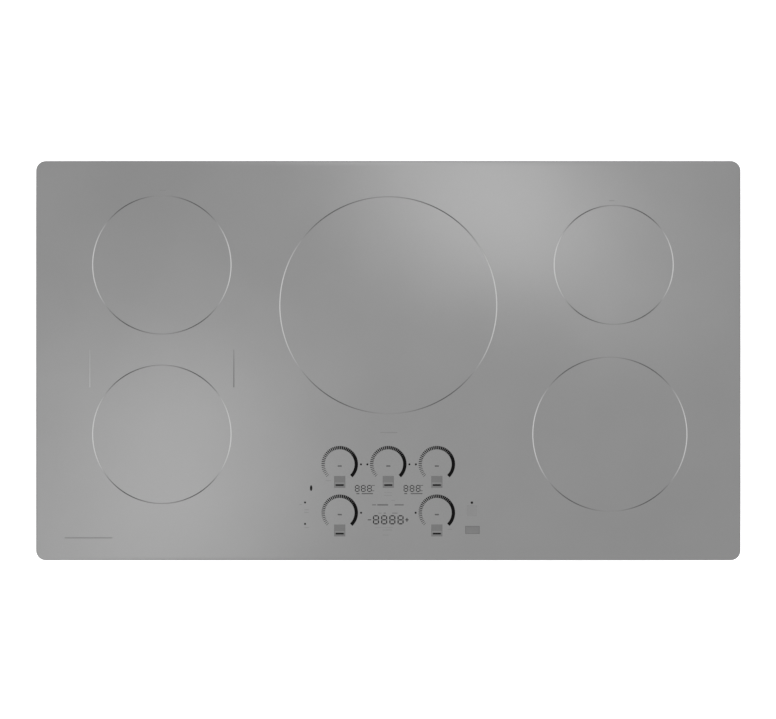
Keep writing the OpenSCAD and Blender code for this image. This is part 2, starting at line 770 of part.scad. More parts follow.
module touch_board() {
    color([0.1, 0.1, 0.1])
        block(0, touch_y, touch_z, [touch_w - 2 * touch_wall - 2 * fitting_gap,
                                    touch_d - 2 * touch_wall - 2 * fitting_gap, board_t]);
    // Display modules
    color([0.15, 0.05, 0.05]) for (d = displays)
        block(d[0], d[1], touch_z + board_t / 2,
              [d[3] * (digit_pitch_ratio * d[2] + 0.2), d[3] + 3, glass_z - touch_z - board_t / 2 - 1]);
}

// A scale's acrylic light guide, from the board up to the glass
module light_guides() {
    color([0.9, 0.9, 0.88]) for (d = dials)
        translate([d[0], d[1], touch_z + board_t]) rotate(dial_start - dial_sweep)
            rotate_extrude(angle = dial_sweep)
                translate([dial_r - dial_band, 0]) square([dial_band, glass_z - touch_z - board_t - 0.5]);
}

module touch_board_carrier() {
    ledge = 4;
    z = touch_z - carrier_drop;
    color([0.18, 0.18, 0.19]) difference() {
        block(0, touch_y, z, [touch_w, touch_d, glass_z - z]);
        block(0, touch_y, z + touch_wall, [touch_w - 2 * ledge, touch_d - 2 * ledge, glass_z]);
        block(0, touch_y, touch_z, [touch_w - 2 * touch_wall, touch_d - 2 * touch_wall, glass_z]);
    }
}

module terminal_block() {
    size = [48, 24, 16];
    z = floor_z + junction_sheet;
    color([0.85, 0.83, 0.78]) difference() {
        block(junction_x, terminal_y, z, size);
        for (i = [-1, 0, 1])
            block(junction_x + i * terminal_pitch, terminal_y, z + 7, [10, size[1] + 2, size[2]]);
    }
    color([0.75, 0.72, 0.6]) for (i = [-1, 0, 1])
        translate([junction_x + i * terminal_pitch, terminal_y, z + 6])
            cylinder(r = 3.5, h = clamp_top_z - z - 6);
}

module junction_box() {
    y = inner_d / 2 - junction[1] / 2;
    t = junction_sheet;
    color([0.68, 0.69, 0.7]) difference() {
        block(junction_x, y, floor_z, junction);
        block(junction_x, y, floor_z + t, junction - [2 * t, 2 * t, 2 * t]);
        translate([junction_x, inner_d / 2 + 1, conduit_z]) rotate([90, 0, 0])
            cylinder(r = conduit_r, h = t + 2);
        // Loom outlet at the front
        translate([terminal_x, inner_d / 2 - junction[1] + t + 1, outlet_z]) rotate([90, 0, 0])
            cylinder(r = lead_r + fitting_gap, h = t + 2);
    }
}

// ---------- Hold-down clamps ----------

module clamp_bracket() {
    difference() {
        union() {
            translate([box_w / 2, -bracket_w / 2, bracket_z])
                cube([bracket_t, bracket_w, tab_z + bracket_t - bracket_z]);
            translate([box_w / 2, -bracket_w / 2, tab_z])
                cube([clamp_x - box_w / 2 + 11, bracket_w, bracket_t]);
            translate([clamp_x, 0, tab_z]) cylinder(r = 6, h = bracket_t + weld_nut_h, $fn = 6);
            for (y = [-1, 1]) translate([box_w / 2, y * (bracket_w - bracket_t) / 2, tab_z - gusset[1] + 1])
                rotate([90, 0, 0]) linear_extrude(bracket_t, center = true)
                    polygon([[0, 0], [0, gusset[1]], gusset]);
        }
        translate([clamp_x, 0, 0]) cylinder(r = clamp_screw_r + running_gap, h = overall_h);
        for (y = [-1, 1]) translate([box_w / 2 - 1, y * bracket_w / 4, bracket_screw_z]) rotate([0, 90, 0])
            cylinder(r = screw_r + running_gap, h = bracket_t + 2);
    }
}

module clamp_brackets() {
    color([0.75, 0.74, 0.68]) {
        clamp_bracket();
        mirror([1, 0, 0]) clamp_bracket();
    }
}

module clamp_screw() {
    translate([clamp_x, 0, 0]) {
        translate([0, 0, wing_z]) cylinder(r = clamp_screw_r, h = pad_top_z - pad_t / 2 - wing_z);
        translate([0, 0, pad_top_z - pad_t]) cylinder(r = pad_r, h = pad_t);
        translate([0, 0, wing_z]) cylinder(r = 5, h = wing_h);
        translate([-1.5, -11, wing_z]) cube([3, 22, wing_h - 2]);
    }
}

module clamp_screw_right() { color([0.78, 0.78, 0.76]) clamp_screw(); }
module clamp_screw_left() { color([0.78, 0.78, 0.76]) mirror([1, 0, 0]) clamp_screw(); }

// ---------- Screws and loom ----------

module case_screws() {
    color([0.8, 0.8, 0.8]) {
        for (x = rail_screws_x, y = [-1, 1])
            translate([x * box_w, y * box_d / 2, rail_screw_z]) rotate([y * 90, 0, 0]) screw();
        for (x = [-1, 1], y = rail_screws_y)
            translate([x * box_w / 2, y * box_d, rail_screw_z]) rotate([0, -x * 90, 0]) screw();
        for (x = [-1, 1], y = [-1, 1])
            translate([x * (box_w / 2 + bracket_t), y * bracket_w / 4, bracket_screw_z])
                rotate([0, -x * 90, 0]) screw();
        for (p = cover_screws) translate([p[0], p[1], pan_z - sheet_t]) screw();
    }
}

// Internal leads: mains to the filter, filter to the outer modules, and touch board to the centre module
lead_z = floor_z + 46;
left_lane = (pins([centre])[0][0] + pins(left_zones)[2][0]) / 2;
right_lane = (pins([centre])[2][0] + pins(right_zones)[0][0]) / 2;
filter_plug_z = board_z + board_t + plug[2];
touch_plug = [-30, touch_y, touch_z - carrier_drop];
function over(p, z) = [p[0], p[1], z];
function filter_plug(i) = [filter_x + filter_plugs_x[i], filter_y - filter[1] / 2 + plug[1], filter_plug_z];
// A lead from a filter socket, forward and across to a lane, then back to a module's board
function board_lead(i, lane, m) = [
    filter_plug(i), over(filter_plug(i), lead_z), [lane, board_plug(m)[1] + 10, lead_z],
    over(board_plug(m), lead_z), board_plug(m)
];
loom_routes = [
    [[terminal_x, terminal_y, clamp_top_z], [terminal_x, terminal_y, outlet_z],
     [terminal_x, inner_d / 2 - junction[1] - 22, outlet_z],
     [right_lane, inner_d / 2 - junction[1] - 44, outlet_z],
     [right_lane, filter_y + 6, outlet_z], over(filter_plug(3), outlet_z), filter_plug(3)],
    board_lead(0, left_lane, left_module),
    board_lead(2, right_lane - 2.4 * lead_r, right_module),
    [touch_plug, touch_plug - [0, 0, 20], over(board_plug(centre_module), lead_z), board_plug(centre_module)]
];

module wiring_loom() {
    color([0.75, 0.1, 0.1]) for (r = loom_routes) tube(rounded_route(r, 5), lead_r, 8);
}

// ---------- Assembly ----------

glass_top();
zone_rings();
dial_marks();
display_marks();
foam_seal();
mount_rail_left();
mount_rail_right();
mount_rail_front();
mount_rail_rear();
burner_box();
bottom_cover();
coil_tray_left();
coil_tray_centre();
coil_tray_right();
winding_left_rear();
winding_left_front();
winding_centre();
winding_right_rear();
winding_right_front();
former_left_rear();
former_left_front();
former_centre();
former_right_rear();
former_right_front();
ferrites_left();
ferrites_centre();
ferrites_right();
insulation_left();
insulation_centre();
insulation_right();
sensors_left();
sensors_centre();
sensors_right();
springs_left();
springs_centre();
springs_right();
spring_posts();
power_board_left();
power_board_centre();
power_board_right();
heat_sink_left();
heat_sink_centre();
heat_sink_right();
blower_housing_left();
blower_housing_centre();
blower_housing_right();
blower_wheel_left();
blower_wheel_centre();
blower_wheel_right();
filter_board();
touch_board();
touch_board_carrier();
light_guides();
terminal_block();
junction_box();
clamp_brackets();
clamp_screw_left();
clamp_screw_right();
case_screws();
wiring_loom();
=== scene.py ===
"""Looks of a built-in five-zone induction cooktop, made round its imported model.

Sizes are in millimetres, in the model's own frame: +X to the user's right, +Y to the rear, +Z up.
MM turns them into metres where a mesh or a light is placed.
"""

import json
import logging
import math
from dataclasses import dataclass, field
from enum import Enum
from typing import Callable, Optional, Sequence

import bmesh
import bpy
from mathutils import Matrix, Vector

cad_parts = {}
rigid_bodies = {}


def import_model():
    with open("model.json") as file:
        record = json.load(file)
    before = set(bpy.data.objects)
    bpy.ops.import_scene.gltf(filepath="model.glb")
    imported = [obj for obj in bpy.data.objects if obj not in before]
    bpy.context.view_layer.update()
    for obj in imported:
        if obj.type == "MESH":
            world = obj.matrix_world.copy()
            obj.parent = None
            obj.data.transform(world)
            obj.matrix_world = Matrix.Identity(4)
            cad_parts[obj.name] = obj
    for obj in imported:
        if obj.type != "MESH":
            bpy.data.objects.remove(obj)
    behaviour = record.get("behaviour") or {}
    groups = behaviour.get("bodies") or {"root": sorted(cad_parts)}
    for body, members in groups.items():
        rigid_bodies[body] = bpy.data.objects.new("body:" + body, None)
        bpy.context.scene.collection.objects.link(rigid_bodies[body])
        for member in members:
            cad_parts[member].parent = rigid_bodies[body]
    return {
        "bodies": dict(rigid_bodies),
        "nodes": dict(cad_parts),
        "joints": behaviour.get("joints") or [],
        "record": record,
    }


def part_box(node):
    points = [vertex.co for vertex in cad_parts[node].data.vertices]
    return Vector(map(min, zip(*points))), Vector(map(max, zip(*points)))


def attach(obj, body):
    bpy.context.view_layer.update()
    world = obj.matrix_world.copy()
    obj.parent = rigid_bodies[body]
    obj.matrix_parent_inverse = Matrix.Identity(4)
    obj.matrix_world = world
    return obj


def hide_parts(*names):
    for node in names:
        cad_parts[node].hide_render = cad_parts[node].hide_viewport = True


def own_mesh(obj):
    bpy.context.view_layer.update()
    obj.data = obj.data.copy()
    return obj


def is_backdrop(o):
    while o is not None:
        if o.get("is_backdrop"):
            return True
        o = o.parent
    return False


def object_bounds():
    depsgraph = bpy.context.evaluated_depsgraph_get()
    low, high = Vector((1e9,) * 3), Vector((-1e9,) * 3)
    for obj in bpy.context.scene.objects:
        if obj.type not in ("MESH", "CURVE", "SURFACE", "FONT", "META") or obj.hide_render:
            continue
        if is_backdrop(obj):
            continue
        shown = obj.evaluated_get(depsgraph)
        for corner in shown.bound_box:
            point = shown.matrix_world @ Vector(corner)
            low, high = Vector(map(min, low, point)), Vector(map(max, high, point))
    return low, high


MM = 0.001
LOG = logging.getLogger("cooktop")
Point = tuple[float, float]
Colour = tuple[float, float, float, float]


# ---------------------------------------------------------------- nodes and finishes


def linear(hex_colour: str) -> Colour:
    """Turns an sRGB colour into the linear colour that a shader takes.

    Args:
        hex_colour: six hex digits, such as "9a9a98".

    Returns:
        Red, green, blue and an alpha of 1.
    """
    channels = [int(hex_colour[i : i + 2], 16) / 255 for i in (0, 2, 4)]
    red, green, blue = (c / 12.92 if c <= 0.04045 else ((c + 0.055) / 1.055) ** 2.4 for c in channels)
    return (red, green, blue, 1.0)


def add_node(
    tree: bpy.types.NodeTree,
    kind: str,
    settings: Optional[dict] = None,
    links: Optional[dict] = None,
) -> bpy.types.Node:
    """Adds a shader node with its settings and its incoming links.

    Args:
        tree: the node tree that takes it.
        kind: the node's Blender type.
        settings: socket defaults and node properties, by name or by socket number.
        links: the output that feeds each named or numbered socket.

    Returns:
        The new node.
    """
    node = tree.nodes.new(kind)
    for key, value in (settings or {}).items():
        if isinstance(key, int) or key in node.inputs:
            node.inputs[key].default_value = value
        else:
            setattr(node, key, value)
    for key, source in (links or {}).items():
        tree.links.new(source, node.inputs[key])
    return node


def blank_material(name: str) -> tuple[bpy.types.Material, bpy.types.NodeTree]:
    """Makes a material without nodes, and returns it with its node tree."""
    made = bpy.data.materials.new(name)
    made.use_nodes = True
    made.node_tree.nodes.clear()
    return made, made.node_tree


def set_ramp(ramp: bpy.types.Node, stops: Sequence[tuple[float, Colour]], steps: bool = False) -> None:
    """Gives a colour ramp its stops, as pairs of place and colour, smooth or in steps."""
    band = ramp.color_ramp
    band.interpolation = "CONSTANT" if steps else "LINEAR"
    while len(band.elements) < len(stops):
        band.elements.new(0.5)
    for element, (place, colour) in zip(band.elements, stops):
        element.position = place
        element.color = colour


class Pattern(Enum):
    """How a finish varies over its surface."""

    GRAIN = "fine even grain of a moulded, sprayed or sintered surface"
    SPANGLE = "flat zinc crystals of hot-dip galvanising"
    BRUSHED = "long fine lines of rolled, drawn or brushed metal"
    PORES = "open cells of foam"
    STRANDS = "twisted strands of litz wire"
    TRACES = "copper tracks under solder mask"


@dataclass(frozen=True)
class Finish:
    """A finish: a base material whose colour, roughness and relief follow one pattern and a broad unevenness.

    size is the real size of the pattern in millimetres, relief its height, and tint how far the pattern
    (rather than the broad unevenness) drives the colour.
    """

    name: str
    dark: str
    light: str
    rough: tuple[float, float]
    pattern: Pattern
    size: float
    relief: float = 0.02
    metallic: float = 0.0
    specular: float = 0.5
    stretch: tuple[float, float, float] = (1.0, 1.0, 1.0)
    tint: float = 0.6
    broad: float = 70.0

    def pattern_output(self, tree: bpy.types.NodeTree, vector: bpy.types.NodeSocket) -> bpy.types.NodeSocket:
        """Adds the texture that draws the pattern.

        Args:
            tree: the material's node tree.
            vector: object coordinates, in metres.

        Returns:
            The texture's output, from 0 to 1.
        """
        scale = 1 / (self.size * MM)
        if self.pattern is Pattern.SPANGLE:
            cells = add_node(tree, "ShaderNodeTexVoronoi", {"Scale": scale}, {"Vector": vector})
            parts = add_node(tree, "ShaderNodeSeparateColor", None, {"Color": cells.outputs["Color"]})
            return parts.outputs["Red"]
        if self.pattern is Pattern.PORES:
            cells = add_node(tree, "ShaderNodeTexVoronoi", {"Scale": scale}, {"Vector": vector})
            return cells.outputs["Distance"]
        if self.pattern is Pattern.STRANDS:
            # A wave of scale 1 repeats every pi / 10 of a unit
            wave = {
                "Scale": scale * math.pi / 10,
                "Distortion": 1.5,
                "Detail": 1.0,
                "bands_direction": "DIAGONAL",
            }
            return add_node(tree, "ShaderNodeTexWave", wave, {"Vector": vector}).outputs["Fac"]
        if self.pattern is Pattern.TRACES:
            tracks = {"Scale": scale, "Mortar Size": 0.035, "Brick Width": 2.6, "Row Height": 0.6}
            return add_node(tree, "ShaderNodeTexBrick", tracks, {"Vector": vector}).outputs["Fac"]
        grain = {"Scale": scale, "Detail": 5.0, "Roughness": 0.6}
        return add_node(tree, "ShaderNodeTexNoise", grain, {"Vector": vector}).outputs["Fac"]

    def colours(self) -> list[tuple[float, Colour]]:
        """Returns the stops of the colour ramp, from the pattern's low parts to its high ones."""
        return [(0.25, linear(self.dark)), (0.75, linear(self.light))]

    def material(self) -> bpy.types.Material:
        """Makes the node material the first time it is asked for.

        Returns:
            The material, shared by every piece with this finish.
        """
        known = bpy.data.materials.get(self.name)
        if known:
            return known
        made, tree = blank_material(self.name)
        place = add_node(tree, "ShaderNodeTexCoord")
        at = {"Vector": place.outputs["Object"]}
        turned = add_node(tree, "ShaderNodeMapping", {"Scale": self.stretch}, at)
        pattern = self.pattern_output(tree, turned.outputs["Vector"])
        broad = add_node(tree, "ShaderNodeTexNoise", {"Scale": 1 / (self.broad * MM), "Detail": 3.0}, at)
        share = add_node(
            tree, "ShaderNodeMath", {"operation": "MULTIPLY", 1: 1 - self.tint}, {0: broad.outputs["Fac"]}
        )
        mixed = add_node(
            tree,
            "ShaderNodeMath",
            {"operation": "MULTIPLY_ADD", 1: self.tint},
            {0: pattern, 2: share.outputs[0]},
        )
        ramp = add_node(tree, "ShaderNodeValToRGB", None, {"Fac": mixed.outputs[0]})
        set_ramp(ramp, self.colours())
        rough = add_node(
            tree,
            "ShaderNodeMapRange",
            {"From Min": 0.3, "From Max": 0.7, "To Min": self.rough[0], "To Max": self.rough[1]},
            {"Value": mixed.outputs[0]},
        )
        bump = add_node(
            tree, "ShaderNodeBump", {"Strength": 0.7, "Distance": self.relief * MM}, {"Height": pattern}
        )
        shader = add_node(
            tree,
            "ShaderNodeBsdfPrincipled",
            {"Metallic": self.metallic, "Specular IOR Level": self.specular},
            {
                "Base Color": self.base_colour(tree, ramp.outputs["Color"]),
                "Roughness": rough.outputs["Result"],
                "Normal": bump.outputs["Normal"],
            },
        )
        add_node(tree, "ShaderNodeOutputMaterial", None, {"Surface": shader.outputs["BSDF"]})
        return made

    def base_colour(self, tree: bpy.types.NodeTree, ramp: bpy.types.NodeSocket) -> bpy.types.NodeSocket:
        """Returns the output that colours the surface, which is the ramp unless a finish adds to it."""
        return ramp


@dataclass(frozen=True)
class LayeredFinish(Finish):
    """A finish whose colour also changes with height, such as a board with its fitted components.

    layers are pairs of height in millimetres and the colour that starts there. The pattern shades them.
    """

    layers: tuple[tuple[float, str], ...] = ()

    def base_colour(self, tree: bpy.types.NodeTree, ramp: bpy.types.NodeSocket) -> bpy.types.NodeSocket:
        """Adds the colour by height and multiplies it with the pattern's ramp.

        Args:
            tree: the material's node tree.
            ramp: the pattern's colour, near white.

        Returns:
            The shaded colour of the layers.
        """
        place = add_node(tree, "ShaderNodeTexCoord")
        axes = add_node(tree, "ShaderNodeSeparateXYZ", None, {"Vector": place.outputs["Object"]})
        top = self.layers[-1][0] + 1
        height = add_node(
            tree, "ShaderNodeMapRange", {"From Min": 0.0, "From Max": top * MM}, {"Value": axes.outputs["Z"]}
        )
        by_height = add_node(tree, "ShaderNodeValToRGB", None, {"Fac": height.outputs["Result"]})
        set_ramp(by_height, [(z / top, linear(colour)) for z, colour in self.layers], steps=True)
        # A colour Mix node takes its two colours on sockets 6 and 7, and gives its colour on output 2
        shaded = add_node(
            tree, "ShaderNodeMix", {"data_type": "RGBA", "blend_type": "MULTIPLY", 0: 1.0},
            {6: by_height.outputs["Color"], 7: ramp},
        )
        return shaded.outputs[2]


# Hot-dip galvanised sheet: cold grey with flat crystals that catch the light one by one
ZINC_SHEET = Finish(
    "galvanised steel, spangled", "777b7e", "a2a6a8", (0.28, 0.5), Pattern.SPANGLE, 9.0, 0.01, 0.9, tint=0.55
)
# Galvanised sheet after pressing: smaller crystals, a little darker where the tool rubbed
COVER_SHEET = Finish(
    "galvanised steel, pressed", "6b6f72", "94989a", (0.34, 0.55), Pattern.SPANGLE, 5.0, 0.01, 0.9, tint=0.45
)
# Rolled aluminium in mill finish: faint lines along the sheet
MILL_ALUMINIUM = Finish(
    "aluminium, mill finish", "a9acae", "c6c9cb", (0.3, 0.45), Pattern.BRUSHED, 1.2, 0.005, 1.0,
    stretch=(0.04, 1.0, 1.0),
)
# Extruded aluminium, clear anodised: dull, with die lines along the fins
FIN_ALUMINIUM = Finish(
    "aluminium, extruded and anodised", "9a9da0", "bcbfc1", (0.35, 0.5), Pattern.BRUSHED, 0.9, 0.008, 1.0,
    stretch=(1.0, 0.03, 1.0),
)
# Enamelled copper litz: orange-brown, with the twist of its strands, drawn at 1.2 mm so that it shows
LITZ = Finish("copper litz, enamelled", "6e3413", "c77b40", (0.28, 0.45), Pattern.STRANDS, 1.2, 0.12, 0.85)
# Glass-filled resin: near black, matt, with flow grain
RESIN = Finish("PPS resin, glass filled", "202124", "34363a", (0.5, 0.7), Pattern.GRAIN, 0.8, 0.02)
# Sintered ferrite: charcoal, dry, slightly rough
FERRITE = Finish("ferrite, sintered", "2a2a2e", "45454b", (0.55, 0.8), Pattern.GRAIN, 0.5, 0.03)
# Pressed ceramic fibre: warm white felt
FIBRE_MAT = Finish(
    "ceramic fibre mat", "c9c4b4", "ebe7da", (0.85, 1.0), Pattern.GRAIN, 1.6, 0.15, specular=0.2,
    stretch=(1.0, 0.35, 1.0),
)
# Moulded silicone: translucent white, waxy
SILICONE = Finish("silicone rubber, moulded", "d5d6d4", "f0f0ee", (0.4, 0.55), Pattern.GRAIN, 1.0, 0.01)
# Drawn spring wire: bright grey with die lines
SPRING_WIRE = Finish(
    "spring steel wire", "7e8286", "b1b5b8", (0.22, 0.35), Pattern.BRUSHED, 0.3, 0.004, 1.0,
    stretch=(1, 1, 0.1),
)
# Turned steel, zinc plated: fine rings from the tool
TURNED_STEEL = Finish(
    "steel, turned and zinc plated", "85898c", "b6babc", (0.22, 0.4), Pattern.BRUSHED, 0.5, 0.006, 1.0,
    stretch=(0.1, 0.1, 1.0),
)
# Zinc plated bracket steel with a yellow passivated cast
CLAMP_STEEL = Finish(
    "steel, zinc plated", "7f7d72", "aeab9e", (0.3, 0.48), Pattern.GRAIN, 1.4, 0.01, 0.95, tint=0.5
)
# PBT: satin black moulding with a fine spark-eroded grain
BLOWER_PLASTIC = Finish("PBT, moulded black", "151618", "26282b", (0.42, 0.6), Pattern.GRAIN, 0.6, 0.02)
# ABS: matt dark grey moulding
CARRIER_PLASTIC = Finish("ABS, moulded grey", "3a3c3f", "505357", (0.45, 0.62), Pattern.GRAIN, 0.7, 0.02)
# Cast acrylic, frosted: milky pale light guides
FROSTED_ACRYLIC = Finish("acrylic, frosted", "c3ccd0", "e2eaee", (0.3, 0.5), Pattern.GRAIN, 0.9, 0.01)
# Polyamide: ivory terminal body
TERMINAL_PLASTIC = Finish("polyamide, ivory", "bdb79f", "dcd7c2", (0.4, 0.58), Pattern.GRAIN, 0.8, 0.02)
# Glass braid sleeve over the leads: off-white, with the braid's pitch
WIRE_SLEEVE = Finish(
    "glass braid sleeve, varnished", "b9b3a2", "e6e1d2", (0.5, 0.7), Pattern.STRANDS, 1.6, 0.1, specular=0.3
)
# Closed-cell EPDM foam: black, with skin pores about a millimetre wide
BLACK_FOAM = Finish(
    "EPDM foam, closed cell", "0d0d0e", "242526", (0.8, 1.0), Pattern.PORES, 1.3, 0.25, specular=0.25
)
# Ground and polished glass edge: darker than the face, because the silver coat stops there
GROUND_EDGE = Finish("glass ceramic, ground edge", "4d4f50", "5f6162", (0.3, 0.42), Pattern.GRAIN, 0.6, 0.004)
# Bead-blasted aluminium plate, printed blank: duller than the zinc round it
PLATE_ALUMINIUM = Finish(
    "aluminium, bead blasted", "6c6f71", "84878a", (0.45, 0.6), Pattern.GRAIN, 0.4, 0.006, 1.0
)
# Power board: green solder mask with tracks, then brown, blue-grey and black components above it
POWER_BOARD = LayeredFinish(
    "FR4 board with components", "b9b9b9", "ffffff", (0.3, 0.55), Pattern.TRACES, 7.0, 0.05,
    layers=((0.0, "b9a05a"), (12.8, "1c5a38"), (14.75, "2b2d33"), (27.0, "33506f"), (31.0, "3a3c44"),
            (41.0, "8d9196")),
)
# Touch board: black solder mask below, display windows above
TOUCH_BOARD = LayeredFinish(
    "FR4 board with displays", "b0b0b0", "ffffff", (0.3, 0.5), Pattern.TRACES, 5.0, 0.04,
    layers=((0.0, "16392a"), (93.8, "1b1c20"), (97.0, "2a2022")),
)


@dataclass(frozen=True)
class Ink:
    """Fired ceramic enamel printed on the glass: matt, with a faint screen grain.

    tone is its grey, as an sRGB hex colour.
    """

    name: str
    tone: str

    def material(self) -> bpy.types.Material:
        """Returns the ink's material: screen grain at 0.6 mm and almost no gloss, so dark ink stays dark."""
        value = int(self.tone[:2], 16)
        lighter = f"{min(255, value + 6):02x}" * 3
        darker = f"{max(0, value - 6):02x}" * 3
        return Finish(
            self.name, darker, lighter, (0.55, 0.7), Pattern.GRAIN, 0.6, 0.004, specular=0.05, broad=25.0
        ).material()


# Dense black enamel of bars and symbols, and the denser one of the scales
INK_BLACK = Ink("enamel, black", "111111")
INK_SCALE = Ink("enamel, scale black", "080808")


@dataclass(frozen=True)
class SilverGlass:
    """Opaque glass ceramic with a silver pigment layer: satin, neutral grey, with a faint pearly flake."""

    name: str = "glass ceramic, satin silver"
    dark: str = "838383"
    light: str = "8b8b8b"
    metallic: float = 0.62
    roughness: float = 0.3
    flake_mm: float = 0.9

    def material(self) -> bpy.types.Material:
        """Returns the glass material: flake grain in colour and relief, and slow clouds in the pigment."""
        return Finish(
            self.name, self.dark, self.light, (self.roughness - 0.015, self.roughness + 0.015), Pattern.GRAIN,
            self.flake_mm, 0.0006, self.metallic, tint=0.4, broad=160.0,
        ).material()


@dataclass(frozen=True)
class ZoneInk:
    """Fired metallic enamel of the zone lines, with a painted sheen: its grey turns from light to dark round
    a ring, painted in to stand for the lamps' reflection. The mesh carries that painted sheen as a vertex
    attribute, 0 dark to 1 light."""

    name: str = "metallic enamel, fired, with painted sheen"
    # Painted shade and painted highlight: the darkest and the lightest grey of the painted sheen
    dark: str = "444444"
    light: str = "d2d2d2"
    roughness: float = 0.5

    def material(self) -> bpy.types.Material:
        """Makes the enamel: the painted sheen and a fine screen grain choose the colour.

        Returns:
            The material, which needs the attribute on its mesh.
        """
        known = bpy.data.materials.get(self.name)
        if known:
            return known
        made, tree = blank_material(self.name)
        place = add_node(tree, "ShaderNodeTexCoord")
        # Painted sheen: how light the line is painted at each place, read from the mesh
        painted_sheen = add_node(tree, "ShaderNodeAttribute", {"attribute_name": "painted_sheen"})
        grain = add_node(
            tree,
            "ShaderNodeTexNoise",
            {"Scale": 1 / (0.7 * MM), "Detail": 3.0},
            {"Vector": place.outputs["Object"]},
        )
        small = add_node(
            tree, "ShaderNodeMapRange", {"To Min": -0.04, "To Max": 0.04}, {"Value": grain.outputs["Fac"]}
        )
        # The painted sheen with the screen grain added to it
        painted_sheen_and_grain = add_node(
            tree,
            "ShaderNodeMath",
            {"operation": "ADD"},
            {0: painted_sheen.outputs["Fac"], 1: small.outputs["Result"]},
        )
        # The ramp turns it into the line's grey, from painted shade to painted highlight
        ramp = add_node(tree, "ShaderNodeValToRGB", None, {"Fac": painted_sheen_and_grain.outputs[0]})
        set_ramp(ramp, [(0.0, linear(self.dark)), (1.0, linear(self.light))])
        rough = add_node(
            tree, "ShaderNodeMapRange", {"To Min": self.roughness - 0.05, "To Max": self.roughness + 0.05},
            {"Value": grain.outputs["Fac"]},
        )
        shader = add_node(
            tree, "ShaderNodeBsdfPrincipled", {"Specular IOR Level": 0.15},
            {"Base Color": ramp.outputs["Color"], "Roughness": rough.outputs["Result"]},
        )
        add_node(tree, "ShaderNodeOutputMaterial", None, {"Surface": shader.outputs["BSDF"]})
        return made


# ---------------------------------------------------------------- mesh helpers


def new_piece(
    name: str, bm: bmesh.types.BMesh, materials: Sequence[bpy.types.Material], body: str
) -> bpy.types.Object:
    """Turns a bmesh, in millimetres, into a piece that rides on a body.

    Args:
        name: the piece's name.
        bm: its shape, which is freed.
        materials: its materials, in slot order.
        body: the CAD body that it moves with.

    Returns:
        The new object, at the origin.
    """
    bmesh.ops.recalc_face_normals(bm, faces=bm.faces)
    bmesh.ops.scale(bm, vec=(MM, MM, MM), verts=bm.verts)
    mesh = bpy.data.meshes.new(name)
    bm.to_mesh(mesh)
    bm.free()
    mesh.shade_smooth()
    mesh.set_sharp_from_angle(angle=math.radians(32))
    piece = bpy.data.objects.new(name, mesh)
    bpy.context.scene.collection.objects.link(piece)
    for material in materials:
        mesh.materials.append(material)
    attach(piece, body)
    LOG.info("%s: %d faces on %s", name, len(mesh.polygons), body)
    return piece


def bevel(bm: bmesh.types.BMesh, edges: Sequence[bmesh.types.BMEdge], offset: float, segments: int) -> None:
    """Rounds edges by an offset in millimetres with so many segments."""
    bmesh.ops.bevel(
        bm, geom=list(edges), offset=offset, offset_type="OFFSET", affect="EDGES", segments=segments,
        profile=0.5, material=-1, clamp_overlap=True,
    )


def upright(edge: bmesh.types.BMEdge) -> bool:
    """Tells whether an edge runs along Z."""
    way = edge.verts[1].co - edge.verts[0].co
    return abs(way.z) > 0.9 * way.length


def slab(
    bm: bmesh.types.BMesh, centre: Point, size: Point, bottom: float, height: float, corner: float = 0.0,
    segments: int = 3,
) -> list[bmesh.types.BMVert]:
    """Adds a flat plate with rounded or pointed corners.

    Args:
        bm: the shape that takes it.
        centre: its middle in plan.
        size: its width and depth.
        bottom: the height of its underside.
        height: its thickness.
        corner: the radius of its upright corners.
        segments: how many faces make each corner.

    Returns:
        The plate's vertices.
    """
    before = set(bm.verts)
    made = bmesh.ops.create_cube(bm, size=1.0)
    bmesh.ops.scale(bm, vec=(size[0], size[1], height), verts=made["verts"])
    bmesh.ops.translate(bm, vec=(centre[0], centre[1], bottom + height / 2), verts=made["verts"])
    if corner > 0:
        edges = [e for e in {e for v in made["verts"] for e in v.link_edges} if upright(e)]
        bevel(bm, edges, corner, segments)
    return [v for v in bm.verts if v not in before]


def disc(
    bm: bmesh.types.BMesh, centre: Point, radius: float, bottom: float, height: float, sides: int = 24
) -> None:
    """Adds a round plate."""
    made = bmesh.ops.create_cone(
        bm, cap_ends=True, cap_tris=False, segments=sides, radius1=radius, radius2=radius, depth=height
    )
    bmesh.ops.translate(bm, vec=(centre[0], centre[1], bottom + height / 2), verts=made["verts"])


def box_mm(node: str) -> tuple[Vector, Vector]:
    """Returns a CAD node's lowest and highest corners in millimetres."""
    low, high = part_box(node)
    return Vector(low) / MM, Vector(high) / MM


# ---------------------------------------------------------------- glass and its print


@dataclass
class GlassTop:
    """The glass: a flat plate with rounded corners and a ground edge."""

    corner_radius: float = 12.7
    edge_bevel: float = 0.7
    finish: SilverGlass = field(default_factory=SilverGlass)

    def build(self) -> None:
        """Makes the plate in the CAD glass's box, with the ground edge in its own material."""
        low, high = box_mm("glass_top")
        size = high - low
        bm = bmesh.new()
        slab(bm, (0.0, 0.0), (size.x, size.y), low.z, size.z, self.corner_radius, 12)
        rims = [e for e in bm.edges if not upright(e) and e.calc_face_angle(0.0) > math.radians(60)]
        bevel(bm, rims, self.edge_bevel, 3)
        bm.normal_update()
        for face in bm.faces:
            face.material_index = 0 if abs(face.normal.z) > 0.995 else 1
        glass = new_piece(
            "glass_plate", bm, [self.finish.material(), GROUND_EDGE.material()], "chassis"
        )
        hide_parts("glass_top")


